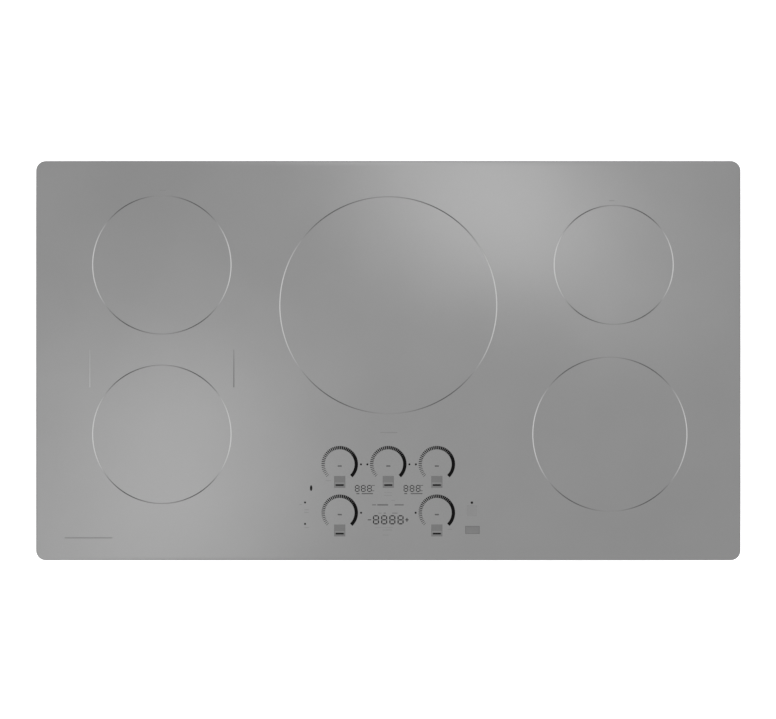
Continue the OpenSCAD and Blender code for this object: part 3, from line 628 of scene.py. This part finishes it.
@dataclass
class ZoneLines:
    """The printed zone rings and the two lines that link the left pair, with a painted sheen along them."""

    line_width: float = 1.3
    thickness: float = 0.1
    steps: int = 192
    # Zone centres and diameters
    left_rear: tuple[float, float, float] = (-293.8, 124.3, 179.6)
    left_front: tuple[float, float, float] = (-293.8, -95.6, 179.6)
    centre: tuple[float, float, float] = (0.0, 71.9, 281.5)
    right_rear: tuple[float, float, float] = (292.5, 124.3, 154.4)
    right_front: tuple[float, float, float] = (287.5, -95.6, 200.0)
    link_length: float = 49.0
    link_gap: float = 3.6
    link_fall: float = 24.5
    # Painted sheen round a ring: its mean, and how much goes with 2, 4 and 6 turns of the angle
    painted_sheen_terms: tuple[float, float, float, float] = (0.31, 0.27, 0.16, -0.06)
    # Painted sheen of a link line at its rear and front end
    left_link_painted_sheen: Point = (0.37, 0.48)
    right_link_painted_sheen: Point = (0.24, 0.13)

    def ring_painted_sheen(self, angle: float) -> float:
        """Returns the painted sheen at an angle round a ring, light at the sides and dark on the diagonals.
        """
        mean, two, four, six = self.painted_sheen_terms
        return mean + two * math.cos(2 * angle) + four * math.cos(4 * angle) + six * math.cos(6 * angle)

    def ring(self, zone: tuple[float, float, float], top: float) -> bmesh.types.BMesh:
        """Spins the line's section round a zone.

        Args:
            zone: the zone's centre and diameter.
            top: the height of the glass.

        Returns:
            The ring, with its painted sheen on the vertices.
        """
        bm = bmesh.new()
        made = bmesh.ops.create_grid(bm, x_segments=1, y_segments=1, size=0.5)
        bmesh.ops.delete(bm, geom=bm.faces[:], context="FACES_ONLY")
        bmesh.ops.scale(bm, vec=(self.line_width, self.thickness, 1.0), verts=made["verts"])
        bmesh.ops.rotate(bm, cent=(0, 0, 0), matrix=Matrix.Rotation(math.pi / 2, 3, "X"), verts=made["verts"])
        bmesh.ops.translate(bm, vec=(zone[2] / 2, 0, top + self.thickness / 2), verts=made["verts"])
        bmesh.ops.spin(
            bm, geom=bm.verts[:] + bm.edges[:], cent=(0, 0, 0), axis=(0, 0, 1), angle=math.tau,
            steps=self.steps, use_merge=True,
        )
        # Painted sheen: each vertex is painted light or dark by its angle round the ring
        layer = bm.verts.layers.float.new("painted_sheen")
        for vert in bm.verts:
            vert[layer] = self.ring_painted_sheen(math.atan2(vert.co.y, vert.co.x))
        bmesh.ops.translate(bm, vec=(zone[0], zone[1], 0), verts=bm.verts)
        return bm

    def link(self, side: int, painted_sheen: Point, top: float) -> bmesh.types.BMesh:
        """Makes one link line between the left zones.

        Args:
            side: -1 for the left line and 1 for the right one.
            painted_sheen: its painted sheen at the rear and at the front end.
            top: the height of the glass.

        Returns:
            The line, with its painted sheen on the vertices.
        """
        bm = bmesh.new()
        across = self.left_rear[0] + side * (self.left_rear[2] / 2 + self.link_gap)
        along = (self.left_rear[1] + self.left_front[1]) / 2 - self.link_fall
        slab(bm, (across, along), (self.line_width, self.link_length), top, self.thickness, 0.3, 2)
        # Painted sheen: the rear half of the line takes one tone, the front half another
        layer = bm.verts.layers.float.new("painted_sheen")
        for vert in bm.verts:
            vert[layer] = painted_sheen[0] if vert.co.y > along else painted_sheen[1]
        return bm

    def build(self) -> None:
        """Makes the five rings and both link lines."""
        top = box_mm("zone_rings")[0].z
        enamel = ZoneInk().material()
        shapes = {
            "zone_ring_left_rear": self.ring(self.left_rear, top),
            "zone_ring_left_front": self.ring(self.left_front, top),
            "zone_ring_centre": self.ring(self.centre, top),
            "zone_ring_right_rear": self.ring(self.right_rear, top),
            "zone_ring_right_front": self.ring(self.right_front, top),
            "zone_link_left": self.link(-1, self.left_link_painted_sheen, top),
            "zone_link_right": self.link(1, self.right_link_painted_sheen, top),
        }
        for name, shape in shapes.items():
            piece = new_piece(name, shape, [enamel], "chassis")
            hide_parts("zone_rings")


@dataclass
class DialScales:
    """The round scales: fine marks that widen clockwise until they join into one solid arc."""

    outer_radius: float = 23.7
    band: float = 4.4
    thickness: float = 0.1
    marks: int = 42
    start: float = 226.0
    sweep: float = 272.0
    # Share of its pitch that a mark fills: at the start, and how it grows along the scale
    first_fill: float = 0.2
    fill_growth: float = 1.06

    def fill(self, index: int) -> float:
        """Returns the share of its pitch that a mark fills."""
        share = index / (self.marks - 1)
        return min(1.0, self.first_fill + self.fill_growth * share)

    def arc(self, bm: bmesh.types.BMesh, centre: Point, ends: Point, top: float, steps: int) -> None:
        """Spins the scale's section between two angles.

        Args:
            bm: the shape that takes it.
            centre: the dial's centre.
            ends: the first and last angle, in degrees.
            top: the height of the glass.
            steps: how many faces the arc is made of.
        """
        made = bmesh.ops.create_grid(bm, x_segments=1, y_segments=1, size=0.5)["verts"]
        bmesh.ops.scale(bm, vec=(self.band, self.thickness, 1.0), verts=made)
        bmesh.ops.rotate(bm, cent=(0, 0, 0), matrix=Matrix.Rotation(math.pi / 2, 3, "X"), verts=made)
        bmesh.ops.translate(
            bm, vec=(self.outer_radius - self.band / 2, 0, top + self.thickness / 2), verts=made
        )
        bmesh.ops.rotate(
            bm, cent=(0, 0, 0), matrix=Matrix.Rotation(math.radians(ends[0]), 3, "Z"), verts=made
        )
        bmesh.ops.translate(bm, vec=(centre[0], centre[1], 0), verts=made)
        section = list(made[0].link_faces)
        bmesh.ops.spin(
            bm, geom=section, cent=(centre[0], centre[1], 0), axis=(0, 0, 1),
            angle=math.radians(ends[1] - ends[0]), steps=steps, use_merge=False,
        )

    def build(self, dials: Sequence[Point]) -> None:
        """Makes one scale for each dial, as one printed piece.

        Args:
            dials: the centres of the dials.
        """
        top = box_mm("dial_marks")[0].z
        pitch = self.sweep / self.marks
        joined = next(i for i in range(self.marks) if self.fill(i) >= 1.0)
        bm = bmesh.new()
        for centre in dials:
            for i in range(joined):
                middle = self.start - (i + 0.5) * pitch
                half = self.fill(i) * pitch / 2
                self.arc(bm, centre, (middle + half, middle - half), top, 1)
            self.arc(
                bm,
                centre,
                (self.start - joined * pitch, self.start - self.sweep),
                top,
                2 * (self.marks - joined),
            )
        piece = new_piece("dial_scales", bm, [INK_SCALE.material()], "chassis")
        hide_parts("dial_marks")


class Segment(Enum):
    """The strokes of a seven-segment digit, as (across, along, lies flat) in halves of its stroke grid."""

    TOP = (0, 1, True)
    MIDDLE = (0, 0, True)
    BOTTOM = (0, -1, True)
    UPPER_LEFT = (-1, 1, False)
    UPPER_RIGHT = (1, 1, False)
    LOWER_LEFT = (-1, -1, False)
    LOWER_RIGHT = (1, -1, False)


@dataclass
class ControlPrint:
    """The printed touch controls: displays, key fields, bars, dots and small symbols."""

    thickness: float = 0.1
    dial_pitch: float = 63.0
    back_row: float = -134.4
    front_row: float = -197.4
    key_drop: float = 23.0
    key_size: Point = (14.4, 15.4)
    # A key's frame, and the bar in it: its width, the gap at its ends, and how far below the key's middle
    # it starts and ends
    frame_width: float = 0.8
    key_bar_width: float = 10.5
    print_gap: float = 0.01
    key_bar_span: Point = (2.95, 5.15)
    key_window_drop: float = 0.6
    dash_size: Point = (5.4, 1.8)
    dash_drop: float = 2.4
    clock_drop: float = 9.2
    dot_radius: float = 1.3
    # A digit's width, pitch and stroke as shares of its height
    digit_ratio: float = 0.66
    digit_pitch_ratio: float = 0.9
    stroke_ratio: float = 0.12

    def dials(self) -> list[Point]:
        """Returns the centres of the five dials, rear row first."""
        pitch = self.dial_pitch
        rear = [(x, self.back_row) for x in (-pitch, 0.0, pitch)]
        return rear + [(x, self.front_row) for x in (-pitch, pitch)]

    def digit(self, bm: bmesh.types.BMesh, centre: Point, height: float, top: float) -> None:
        """Adds the seven strokes of one digit, pointed at both ends."""
        width = height * self.digit_ratio
        stroke = height * self.stroke_ratio
        reach = (height - stroke) / 2
        for segment in Segment:
            across, along, flat = segment.value
            if flat:
                place = (centre[0], centre[1] + along * reach)
                size = (width - 2 * stroke, stroke)
            else:
                place = (centre[0] + across * (width - stroke) / 2, centre[1] + along * reach / 2)
                size = (stroke, reach - 0.5 * stroke)
            slab(bm, place, size, top, self.thickness, stroke * 0.45, 1)

    def display(self, name: str, centre: Point, digits: int, height: float, ink: Ink, top: float) -> None:
        """Makes one display of seven-segment digits."""
        bm = bmesh.new()
        pitch = height * self.digit_pitch_ratio
        for i in range(digits):
            self.digit(bm, (centre[0] + (i - (digits - 1) / 2) * pitch, centre[1]), height, top)
        self.printed(name, bm, ink)

    def printed(self, name: str, bm: bmesh.types.BMesh, ink: Ink) -> None:
        """Makes a printed piece that stands for the CAD marks."""
        piece = new_piece(name, bm, [ink.material()], "chassis")
        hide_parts("display_marks")

    def marks(
        self, name: str, ink: Ink, shapes: Sequence[tuple[float, float, float, float]], top: float,
        roundness: float = 0.3,
    ) -> None:
        """Makes a group of small bars.

        Args:
            name: the piece's name.
            ink: what they are printed with.
            shapes: each bar's (x, y, width, depth).
            top: the height of the glass.
            roundness: the corner radius as a share of the bar's smaller side, 0 for sharp corners.
        """
        bm = bmesh.new()
        for x, y, width, depth in shapes:
            slab(bm, (x, y), (width, depth), top, self.thickness, min(width, depth) * roundness, 2)
        self.printed(name, bm, ink)

    def keys(self, top: float) -> None:
        """Makes each dial's key: a tinted field with a lighter window, and a dark bar at its foot."""
        fields, windows, rims, bars, dashes = [], [], [], [], []
        width, depth = self.key_size
        inner = width - 2 * self.frame_width
        beside = (inner - self.key_bar_width) / 2 - self.print_gap
        for x, y in self.dials():
            middle = y - self.key_drop
            high, low, window_high = middle + depth / 2, middle - depth / 2, middle - self.key_window_drop
            bar_high, bar_low = (middle - drop for drop in self.key_bar_span)
            bar_middle, bar_depth = (bar_high + bar_low) / 2, bar_high - bar_low
            fields.append((x, (high + window_high) / 2, inner, high - window_high))
            windows.append((x, (window_high + bar_high) / 2, inner, window_high - bar_high))
            fields.append((x, (bar_low + low) / 2, inner, bar_low - low))
            for side in (-1, 1):
                rims.append((x + side * (width - self.frame_width) / 2, middle, self.frame_width, depth))
                across = x + side * (inner - beside) / 2
                fields.append((across, bar_middle, beside, bar_depth))
            bars.append((x, bar_middle, self.key_bar_width, bar_depth))
            dashes.append((x, y - self.dash_drop, *self.dash_size))
        self.marks("key_fields", Ink("enamel, key field", "6b6b6b"), fields, top, 0.0)
        self.marks("key_windows", Ink("enamel, key window", "777777"), windows, top, 0.0)
        self.marks("key_rims", Ink("enamel, key rim", "686868"), rims, top, 0.0)
        self.marks("key_bars", INK_BLACK, bars, top, 0.15)
        self.marks("dial_dashes", Ink("enamel, dash", "555555"), dashes, top)

    def dots(self, top: float) -> None:
        """Makes the dots between the dials and the key group left of them."""
        bm = bmesh.new()
        for x, y in (
            (-35.4, -134.6), (-27.1, -134.6), (27.4, -134.6), (35.8, -134.6), (-35.3, -197.4), (35.5, -197.4)
        ):
            disc(bm, (x, y), self.dot_radius, top, self.thickness)
        for x, y, r in ((-108.0, -184.0, 1.25), (-108.0, -211.9, 1.25), (108.5, -184.3, 1.6)):
            disc(bm, (x, y), r, top, self.thickness)
        self.printed("touch_dots", bm, Ink("enamel, dots", "121212"))
        bm = bmesh.new()
        disc(bm, (0.0, 0.0), 1.55, top, self.thickness, 32)
        bmesh.ops.scale(bm, vec=(1.0, 2.35, 1.0), verts=bm.verts)
        bmesh.ops.translate(bm, vec=(-100.1, -165.4, 0.0), verts=bm.verts)
        self.printed("lock_mark", bm, INK_BLACK)

    def linked_key(self, centre: Point, size: Point, top: float) -> None:
        """Makes the key that joins two zones: a framed field.

        Args:
            centre: its middle.
            size: its width and depth, between the middles of its frame's bars.
            top: the height of the glass.
        """
        (x, y), (wide, deep), bar = centre, size, self.frame_width
        frame = [(x, y + side * deep / 2, wide + bar, bar) for side in (-1, 1)]
        frame += [(x + side * wide / 2, y, bar, deep - bar) for side in (-1, 1)]
        self.marks("linked_key", Ink("enamel, linked key", "646464"), frame, top, 0.0)
        self.marks(
            "linked_key_field",
            Ink("enamel, linked field", "707070"),
            [(x, y, wide - bar, deep - bar)],
            top,
            0.0,
        )

    def build(self) -> None:
        """Makes every printed control mark in the place of the CAD ones."""
        top = box_mm("display_marks")[0].z
        timer_row = self.back_row - self.dial_pitch / 2
        clock_row = self.front_row - self.clock_drop
        timer_ink, clock_ink = Ink("enamel, timer", "1c1c1c"), Ink("enamel, clock", "0e0e0e")
        self.display("timer_left", (-32.4, timer_row), 3, 8.8, timer_ink, top)
        self.display("timer_right", (30.8, timer_row), 3, 8.8, timer_ink, top)
        self.display("clock", (0.0, clock_row), 4, 11.8, clock_ink, top)
        self.marks(
            "plus_minus", Ink("enamel, plus and minus", "202020"),
            [(-24.4, clock_row, 4.6, 0.9), (24.2, clock_row, 4.4, 1.0), (24.2, clock_row, 1.1, 5.0)], top,
        )
        self.keys(top)
        self.dots(top)
        row = timer_row - 6.7
        self.marks(
            "timer_dashes", Ink("enamel, timer dashes", "505050"),
            [
                (-39.4, row, 4.0, 1.2), (-27.2, row, 14.6, 1.2),
                (22.6, row, 4.0, 1.2), (36.6, row, 15.4, 1.2),
                (-19.6, timer_row + 4.0, 4.4, 0.8), (-19.6, timer_row - 3.0, 3.0, 0.8),
                (43.0, timer_row + 4.0, 4.4, 0.8), (43.0, timer_row - 3.0, 3.0, 0.8),
            ],
            top,
        )
        self.marks(
            "centre_bars", Ink("enamel, centre bars", "606060"),
            [(-18.5, -187.2, 5.0, 1.2), (-7.2, -187.2, 14.2, 1.8), (14.0, -187.2, 12.0, 1.5)], top,
        )
        self.marks(
            "clock_ticks", Ink("enamel, clock ticks", "686868"),
            [(-11.0, -197.9, 4.0, 0.7), (-4.5, -197.9, 3.0, 1.2), (8.5, -197.9, 7.0, 1.0)], top,
        )
        self.marks(
            "faint_lines", Ink("enamel, faint", "7c7c7c"),
            [
                (-5.5, -216.5, 23.0, 0.6), (-1.5, -219.8, 12.0, 0.9), (-3.5, -226.4, 7.0, 0.7),
                (-0.4, -171.3, 10.2, 0.6), (-0.4, -175.0, 10.2, 0.6), (6.5, -181.3, 5.0, 0.7),
                (0.7, -93.4, 22.0, 1.3), (-106.0, -193.6, 6.0, 0.7), (-106.0, -197.0, 6.0, 0.7),
                (-106.0, -216.6, 6.0, 0.7), (-113.6, -186.7, 3.0, 0.7), (-292.5, 221.0, 8.0, 1.2),
                (290.0, 207.5, 7.0, 0.9), (-78.0, -155.8, 7.0, 0.7), (80.0, -219.0, 6.0, 0.7),
                (-389.0, -230.0, 62.0, 1.6),
            ],
            top,
        )
        self.marks("soft_key", Ink("enamel, soft key", "7e7e7e"), [(108.6, -195.0, 13.0, 14.0)], top, 0.0)
        self.linked_key((109.2, -219.7), (18.0, 9.4), top)


# ---------------------------------------------------------------- metal work


@dataclass
class CaseScrews:
    """Pan head screws with a cross recess, which hold the rails, brackets and bottom cover."""

    head_radius: float = 3.6
    head_height: float = 2.2
    shank_radius: float = 2.0
    shank_length: float = 5.0
    recess_width: float = 0.9
    recess_reach: float = 2.1
    rail_shares: tuple[float, ...] = (-0.42, -0.14, 0.14, 0.42)
    side_shares: tuple[float, ...] = (-0.36, 0.36)
    rail_height: float = 91.3
    bracket_height: float = 26.0
    bracket_spread: float = 10.0
    bracket_sheet: float = 2.0
    cover_shares: tuple[float, ...] = (-0.46, -0.23, 0.0, 0.23, 0.46)
    cover_row: float = 204.6
    cover_level: float = 5.0

    def head(self) -> bmesh.types.BMesh:
        """Makes one screw at the origin, its head below z = 0 and its shank above.

        Returns:
            The screw, with the arms of the cross sunk into the domed head.
        """
        bm = bmesh.new()
        made = bmesh.ops.create_cone(
            bm, cap_ends=True, cap_tris=False, segments=20, radius1=self.head_radius,
            radius2=self.head_radius, depth=self.head_height,
        )
        bmesh.ops.translate(bm, vec=(0, 0, -self.head_height / 2), verts=made["verts"])
        crown = [e for e in bm.edges if all(v.co.z < -self.head_height * 0.9 for v in e.verts)]
        bevel(bm, crown, self.head_height * 0.42, 3)
        low = min(bm.faces, key=lambda f: f.calc_center_median().z)
        inner = bmesh.ops.inset_region(bm, faces=[low], thickness=self.head_radius * 0.12)["faces"]
        face = min(bm.faces, key=lambda f: (round(f.calc_center_median().z, 4), -len(f.verts)))
        self.sink_cross(bm, face if len(face.verts) >= 20 else inner[0])
        shank = bmesh.ops.create_cone(
            bm, cap_ends=True, cap_tris=False, segments=12, radius1=self.shank_radius,
            radius2=self.shank_radius * 0.8, depth=self.shank_length,
        )
        bmesh.ops.translate(bm, vec=(0, 0, self.shank_length / 2), verts=shank["verts"])
        return bm

    def sink_cross(self, bm: bmesh.types.BMesh, face: bmesh.types.BMFace) -> None:
        """Cuts the head's flat face along a cross and pushes the cross in."""
        flat = face.calc_center_median().z
        for axis in (Vector((1, 0, 0)), Vector((0, 1, 0))):
            for limit in (self.recess_width / 2, self.recess_reach / 2):
                for side in (-1, 1):
                    geom = [g for g in bm.verts[:] + bm.edges[:] + bm.faces[:] if self.on_flat(g, flat)]
                    bmesh.ops.bisect_plane(bm, geom=geom, plane_co=axis * (limit * side), plane_no=axis)
        bm.faces.ensure_lookup_table()
        half, reach = self.recess_width / 2, self.recess_reach / 2

        def in_cross(f: bmesh.types.BMFace) -> bool:
            """Tells whether a face lies in an arm of the cross."""
            c = f.calc_center_median()
            x, y = abs(c.x), abs(c.y)
            return self.on_flat(f, flat) and x < reach and y < reach and (x < half or y < half)

        arms = [f for f in bm.faces if in_cross(f)]
        sunk = bmesh.ops.extrude_face_region(bm, geom=arms)
        verts = [g for g in sunk["geom"] if isinstance(g, bmesh.types.BMVert)]
        bmesh.ops.delete(bm, geom=arms, context="FACES_ONLY")
        bmesh.ops.translate(bm, vec=(0, 0, self.head_height * 0.55), verts=verts)

    @staticmethod
    def on_flat(part: object, level: float) -> bool:
        """Tells whether a vertex, edge or face lies wholly at a height."""
        verts = [part] if isinstance(part, bmesh.types.BMVert) else part.verts
        return all(abs(v.co.z - level) < 1e-4 for v in verts)

    def places(self) -> list[Matrix]:
        """Returns where each screw goes, as a turn and a move from the origin."""
        high = box_mm("burner_box")[1]
        wide, deep = 2 * high.x, 2 * high.y
        found = []
        for share in self.rail_shares:
            for side in (-1, 1):
                turn = Matrix.Rotation(side * math.pi / 2, 4, "X")
                found.append(Matrix.Translation((share * wide, side * deep / 2, self.rail_height)) @ turn)
        for side in (-1, 1):
            turn = Matrix.Rotation(-side * math.pi / 2, 4, "Y")
            for share in self.side_shares:
                found.append(Matrix.Translation((side * wide / 2, share * deep, self.rail_height)) @ turn)
            for row in (-1, 1):
                out = side * (wide / 2 + self.bracket_sheet)
                place = Matrix.Translation((out, row * self.bracket_spread, self.bracket_height))
                found.append(place @ turn)
        cover = box_mm("bottom_cover")[1].x * 2
        for share in self.cover_shares:
            for side in (-1, 1):
                found.append(Matrix.Translation((share * cover, side * self.cover_row, self.cover_level)))
        return found

    def build(self) -> None:
        """Copies the screw to every place, as one piece."""
        one = self.head()
        mesh = bpy.data.meshes.new("screw_pattern")
        one.to_mesh(mesh)
        one.free()
        bm = bmesh.new()
        for place in self.places():
            start = len(bm.verts)
            bm.from_mesh(mesh)
            bm.verts.ensure_lookup_table()
            bmesh.ops.transform(bm, matrix=place, verts=bm.verts[start:])
        bpy.data.meshes.remove(mesh)
        piece = new_piece("case_screw_set", bm, [TURNED_STEEL.material()], "chassis")
        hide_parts("case_screws")


@dataclass
class RatingPlate:
    """A blank aluminium plate on the burner box's left wall, held by two rivets."""

    size: Point = (70.0, 28.0)
    thickness: float = 0.4
    place_y: float = -150.0
    place_z: float = 62.0
    rivet_radius: float = 1.6

    def build(self) -> None:
        """Makes the plate flat, with a raised blank border and two rivets, and stands it on the wall."""
        wall = box_mm("burner_box")[0].x
        bm = bmesh.new()
        slab(bm, (0, 0), self.size, 0.0, self.thickness, 2.0, 4)
        bevel(bm, [e for e in bm.edges if all(v.co.z > self.thickness * 0.9 for v in e.verts)], 0.12, 1)
        top = max(bm.faces, key=lambda f: f.calc_center_median().z)
        bmesh.ops.inset_region(bm, faces=[top], thickness=2.2, depth=-0.08)
        for side in (-1, 1):
            rivet = bmesh.ops.create_uvsphere(bm, u_segments=16, v_segments=8, radius=self.rivet_radius)
            bmesh.ops.scale(bm, vec=(1, 1, 0.5), verts=rivet["verts"])
            bmesh.ops.translate(
                bm, vec=(side * (self.size[0] / 2 - 4.5), 0, self.thickness), verts=rivet["verts"]
            )
        stand = Matrix.Translation((wall, self.place_y, self.place_z))
        face_out = Matrix(((0, 0, -1, 0), (-1, 0, 0, 0), (0, 1, 0, 0), (0, 0, 0, 1)))
        bmesh.ops.transform(bm, matrix=stand @ face_out, verts=bm.verts)
        new_piece("rating_plate", bm, [PLATE_ALUMINIUM.material()], "chassis")


class Deck(Enum):
    """The coil trays, by the name that their nodes, joint and springs share."""

    LEFT = "left"
    CENTRE = "centre"
    RIGHT = "right"


@dataclass
class DeckSprings:
    """The four compression springs under one coil tray, made at their rest length."""

    deck: Deck
    coil_radius: float = 5.2
    wire_radius: float = 0.7
    turns: int = 5
    steps_per_turn: int = 20
    wire_sides: int = 8
    travel: float = 3.0

    def spring(self, bm: bmesh.types.BMesh, centre: Point, low: float, high: float) -> None:
        """Adds one coil: a round wire section, spun up a helix and closed at both ends."""
        rise = high - low - 2 * self.wire_radius
        before = set(bm.verts)
        section = bmesh.ops.create_circle(
            bm, cap_ends=True, segments=self.wire_sides, radius=self.wire_radius
        )
        bmesh.ops.rotate(
            bm, cent=(0, 0, 0), matrix=Matrix.Rotation(math.pi / 2, 3, "X"), verts=section["verts"]
        )
        bmesh.ops.translate(
            bm, vec=(centre[0] + self.coil_radius, centre[1], low + self.wire_radius), verts=section["verts"]
        )
        steps = self.turns * self.steps_per_turn
        first = [f for f in bm.faces if all(v not in before for v in f.verts)]
        bmesh.ops.spin(
            bm, geom=first, cent=(centre[0], centre[1], 0), axis=(0, 0, 1), dvec=(0, 0, rise / steps),
            angle=math.tau * self.turns, steps=steps, use_merge=False,
        )

    def build(self) -> None:
        """Makes the four springs, and gives the piece a mesh of its own."""
        node = f"springs_{self.deck.value}"
        low, high = box_mm(node)
        inset = self.coil_radius + self.wire_radius
        bm = bmesh.new()
        for x in (low.x + inset, high.x - inset):
            for y in (low.y + inset, high.y - inset):
                self.spring(bm, (x, y), low.z, high.z)
        piece = new_piece(
            f"coil_springs_{self.deck.value}", bm, [SPRING_WIRE.material()], "chassis"
        )
        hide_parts(node)
        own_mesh(piece)


# ---------------------------------------------------------------- carried-over parts

CARRIED: dict[str, Finish] = {
    "foam_seal": BLACK_FOAM,
    "mount_rail": ZINC_SHEET,
    "burner_box": ZINC_SHEET,
    "bottom_cover": COVER_SHEET,
    "coil_tray": MILL_ALUMINIUM,
    "winding": LITZ,
    "former": RESIN,
    "ferrites": FERRITE,
    "insulation": FIBRE_MAT,
    "sensors": SILICONE,
    "spring_posts": TURNED_STEEL,
    "power_board": POWER_BOARD,
    "filter_board": POWER_BOARD,
    "heat_sink": FIN_ALUMINIUM,
    "blower_housing": BLOWER_PLASTIC,
    "blower_wheel": BLOWER_PLASTIC,
    "touch_board_carrier": CARRIER_PLASTIC,
    "touch_board": TOUCH_BOARD,
    "light_guides": FROSTED_ACRYLIC,
    "terminal_block": TERMINAL_PLASTIC,
    "junction_box": ZINC_SHEET,
    "clamp_brackets": CLAMP_STEEL,
    "clamp_screw": CLAMP_STEEL,
    "wiring_loom": WIRE_SLEEVE,
}


def dress_carried(nodes: dict[str, bpy.types.Object]) -> None:
    """Gives every CAD node that stays its finish, by the longest name that it starts with.

    Args:
        nodes: the CAD nodes, by name.
    """
    for name, node in nodes.items():
        stems = sorted((stem for stem in CARRIED if name.startswith(stem)), key=len)
        if not stems:
            continue
        node.data.materials.clear()
        node.data.materials.append(CARRIED[stems[-1]].material())
        LOG.info("%s: %s", name, CARRIED[stems[-1]].name)


# ---------------------------------------------------------------- studio


@dataclass
class Studio:
    """A softly glowing white table, a pale sky, two lamps overhead and two soft boxes at the sides.

    Lengths are in millimetres; lamps are placed in metres."""

    glass_level: float = 105.0
    view_width: float = 1006.9
    view_centre: Point = (-0.36, 1.45)
    lens_mm: float = 120.0
    sensor_mm: float = 36.0
    sky: float = 0.9
    table_glow: float = 0.5
    table_gap: float = 0.3

    def camera(self) -> None:
        """Looks straight down on the glass, through a long lens."""
        data = bpy.data.cameras.new("camera")
        data.lens = self.lens_mm
        data.sensor_width = self.sensor_mm
        data.clip_end = 50.0
        camera = bpy.data.objects.new("camera", data)
        away = self.view_width * self.lens_mm / self.sensor_mm
        camera.location = (self.view_centre[0] * MM, self.view_centre[1] * MM, (self.glass_level + away) * MM)
        bpy.context.scene.collection.objects.link(camera)
        bpy.context.scene.camera = camera

    def floor(self) -> None:
        """Makes the pale table top: a wide disc of opal acrylic that glows softly, clear from below."""
        bm = bmesh.new()
        bmesh.ops.create_circle(bm, cap_ends=True, segments=96, radius=6000)
        bmesh.ops.translate(bm, vec=(0, 0, -self.table_gap), verts=bm.verts)
        bmesh.ops.scale(bm, vec=(MM, MM, MM), verts=bm.verts)
        mesh = bpy.data.meshes.new("table")
        bm.to_mesh(mesh)
        bm.free()
        table = bpy.data.objects.new("table", mesh)
        bpy.context.scene.collection.objects.link(table)
        made, tree = blank_material("acrylic, opal")
        opal = {
            "Base Color": linear("f4f4f4"), "Roughness": 0.8,
            "Emission Color": linear("ffffff"), "Emission Strength": self.table_glow,
        }
        shader = add_node(tree, "ShaderNodeBsdfPrincipled", opal)
        side = add_node(tree, "ShaderNodeNewGeometry")
        clear = add_node(tree, "ShaderNodeBsdfTransparent")
        one_sided = add_node(
            tree, "ShaderNodeMixShader", None,
            {0: side.outputs["Backfacing"], 1: shader.outputs["BSDF"], 2: clear.outputs["BSDF"]},
        )
        add_node(tree, "ShaderNodeOutputMaterial", None, {"Surface": one_sided.outputs["Shader"]})
        mesh.materials.append(made)
        table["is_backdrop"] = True

    def lamp(self, name: str, place: tuple[float, float, float], aim: tuple[float, float, float],
             size: Point, watts: float) -> None:
        """Hangs one rectangular soft lamp, given in metres, and turns it to its aim."""
        data = bpy.data.lights.new(name, "AREA")
        data.shape = "RECTANGLE"
        data.size, data.size_y = size
        data.energy = watts
        lamp = bpy.data.objects.new(name, data)
        lamp.location = place
        way = Vector(aim) - Vector(place)
        lamp.rotation_euler = way.to_track_quat("-Z", "Y").to_euler()
        bpy.context.scene.collection.objects.link(lamp)

    def build(self) -> None:
        """Sets the sky, the table, the lamps and the colour transform."""
        scene = bpy.context.scene
        scene.view_settings.view_transform = "Standard"
        world = bpy.data.worlds.new("studio")
        world.use_nodes = True
        sky = world.node_tree.nodes["Background"]
        sky.inputs["Color"].default_value = (1.0, 1.0, 1.0, 1.0)
        sky.inputs["Strength"].default_value = self.sky
        scene.world = world
        self.floor()
        self.lamp("sheen_rear", (0.23, 0.62, 2.1), (0.23, 0.62, 0.1), (0.62, 0.85), 3.1)
        self.lamp("sheen_front", (-0.82, -0.5, 2.1), (-0.82, -0.5, 0.1), (0.4, 0.8), 1.85)
        self.lamp("box_left", (-2.4, -1.9, 1.9), (0, 0, 0.05), (2.6, 2.6), 45.0)
        self.lamp("box_right", (2.4, 2.1, 1.6), (0, 0, 0.05), (2.6, 2.6), 30.0)


# ---------------------------------------------------------------- the whole cooktop


def write_sizes(cad: Sequence, visual: Sequence) -> None:
    """Puts the CAD box and the visual model's box into lists of numbers, which are not kept."""
    plain: Callable[[Sequence], list] = lambda box: [[float(v) for v in corner] for corner in box]
    {"cad": plain(cad), "visual": plain(visual)}


def main() -> None:
    """Builds the cooktop's looks in order."""
    logging.basicConfig(level=logging.INFO, format="%(name)s: %(message)s")
    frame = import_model()
    cad_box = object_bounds()
    studio = Studio()
    studio.camera()
    GlassTop().build()
    ZoneLines().build()
    controls = ControlPrint()
    controls.build()
    DialScales().build(controls.dials())
    CaseScrews().build()
    RatingPlate().build()
    for deck in Deck:
        DeckSprings(deck).build()
    dress_carried(frame["nodes"])
    studio.build()
    write_sizes(cad_box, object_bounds())


if __name__ == "__main__":
    main()
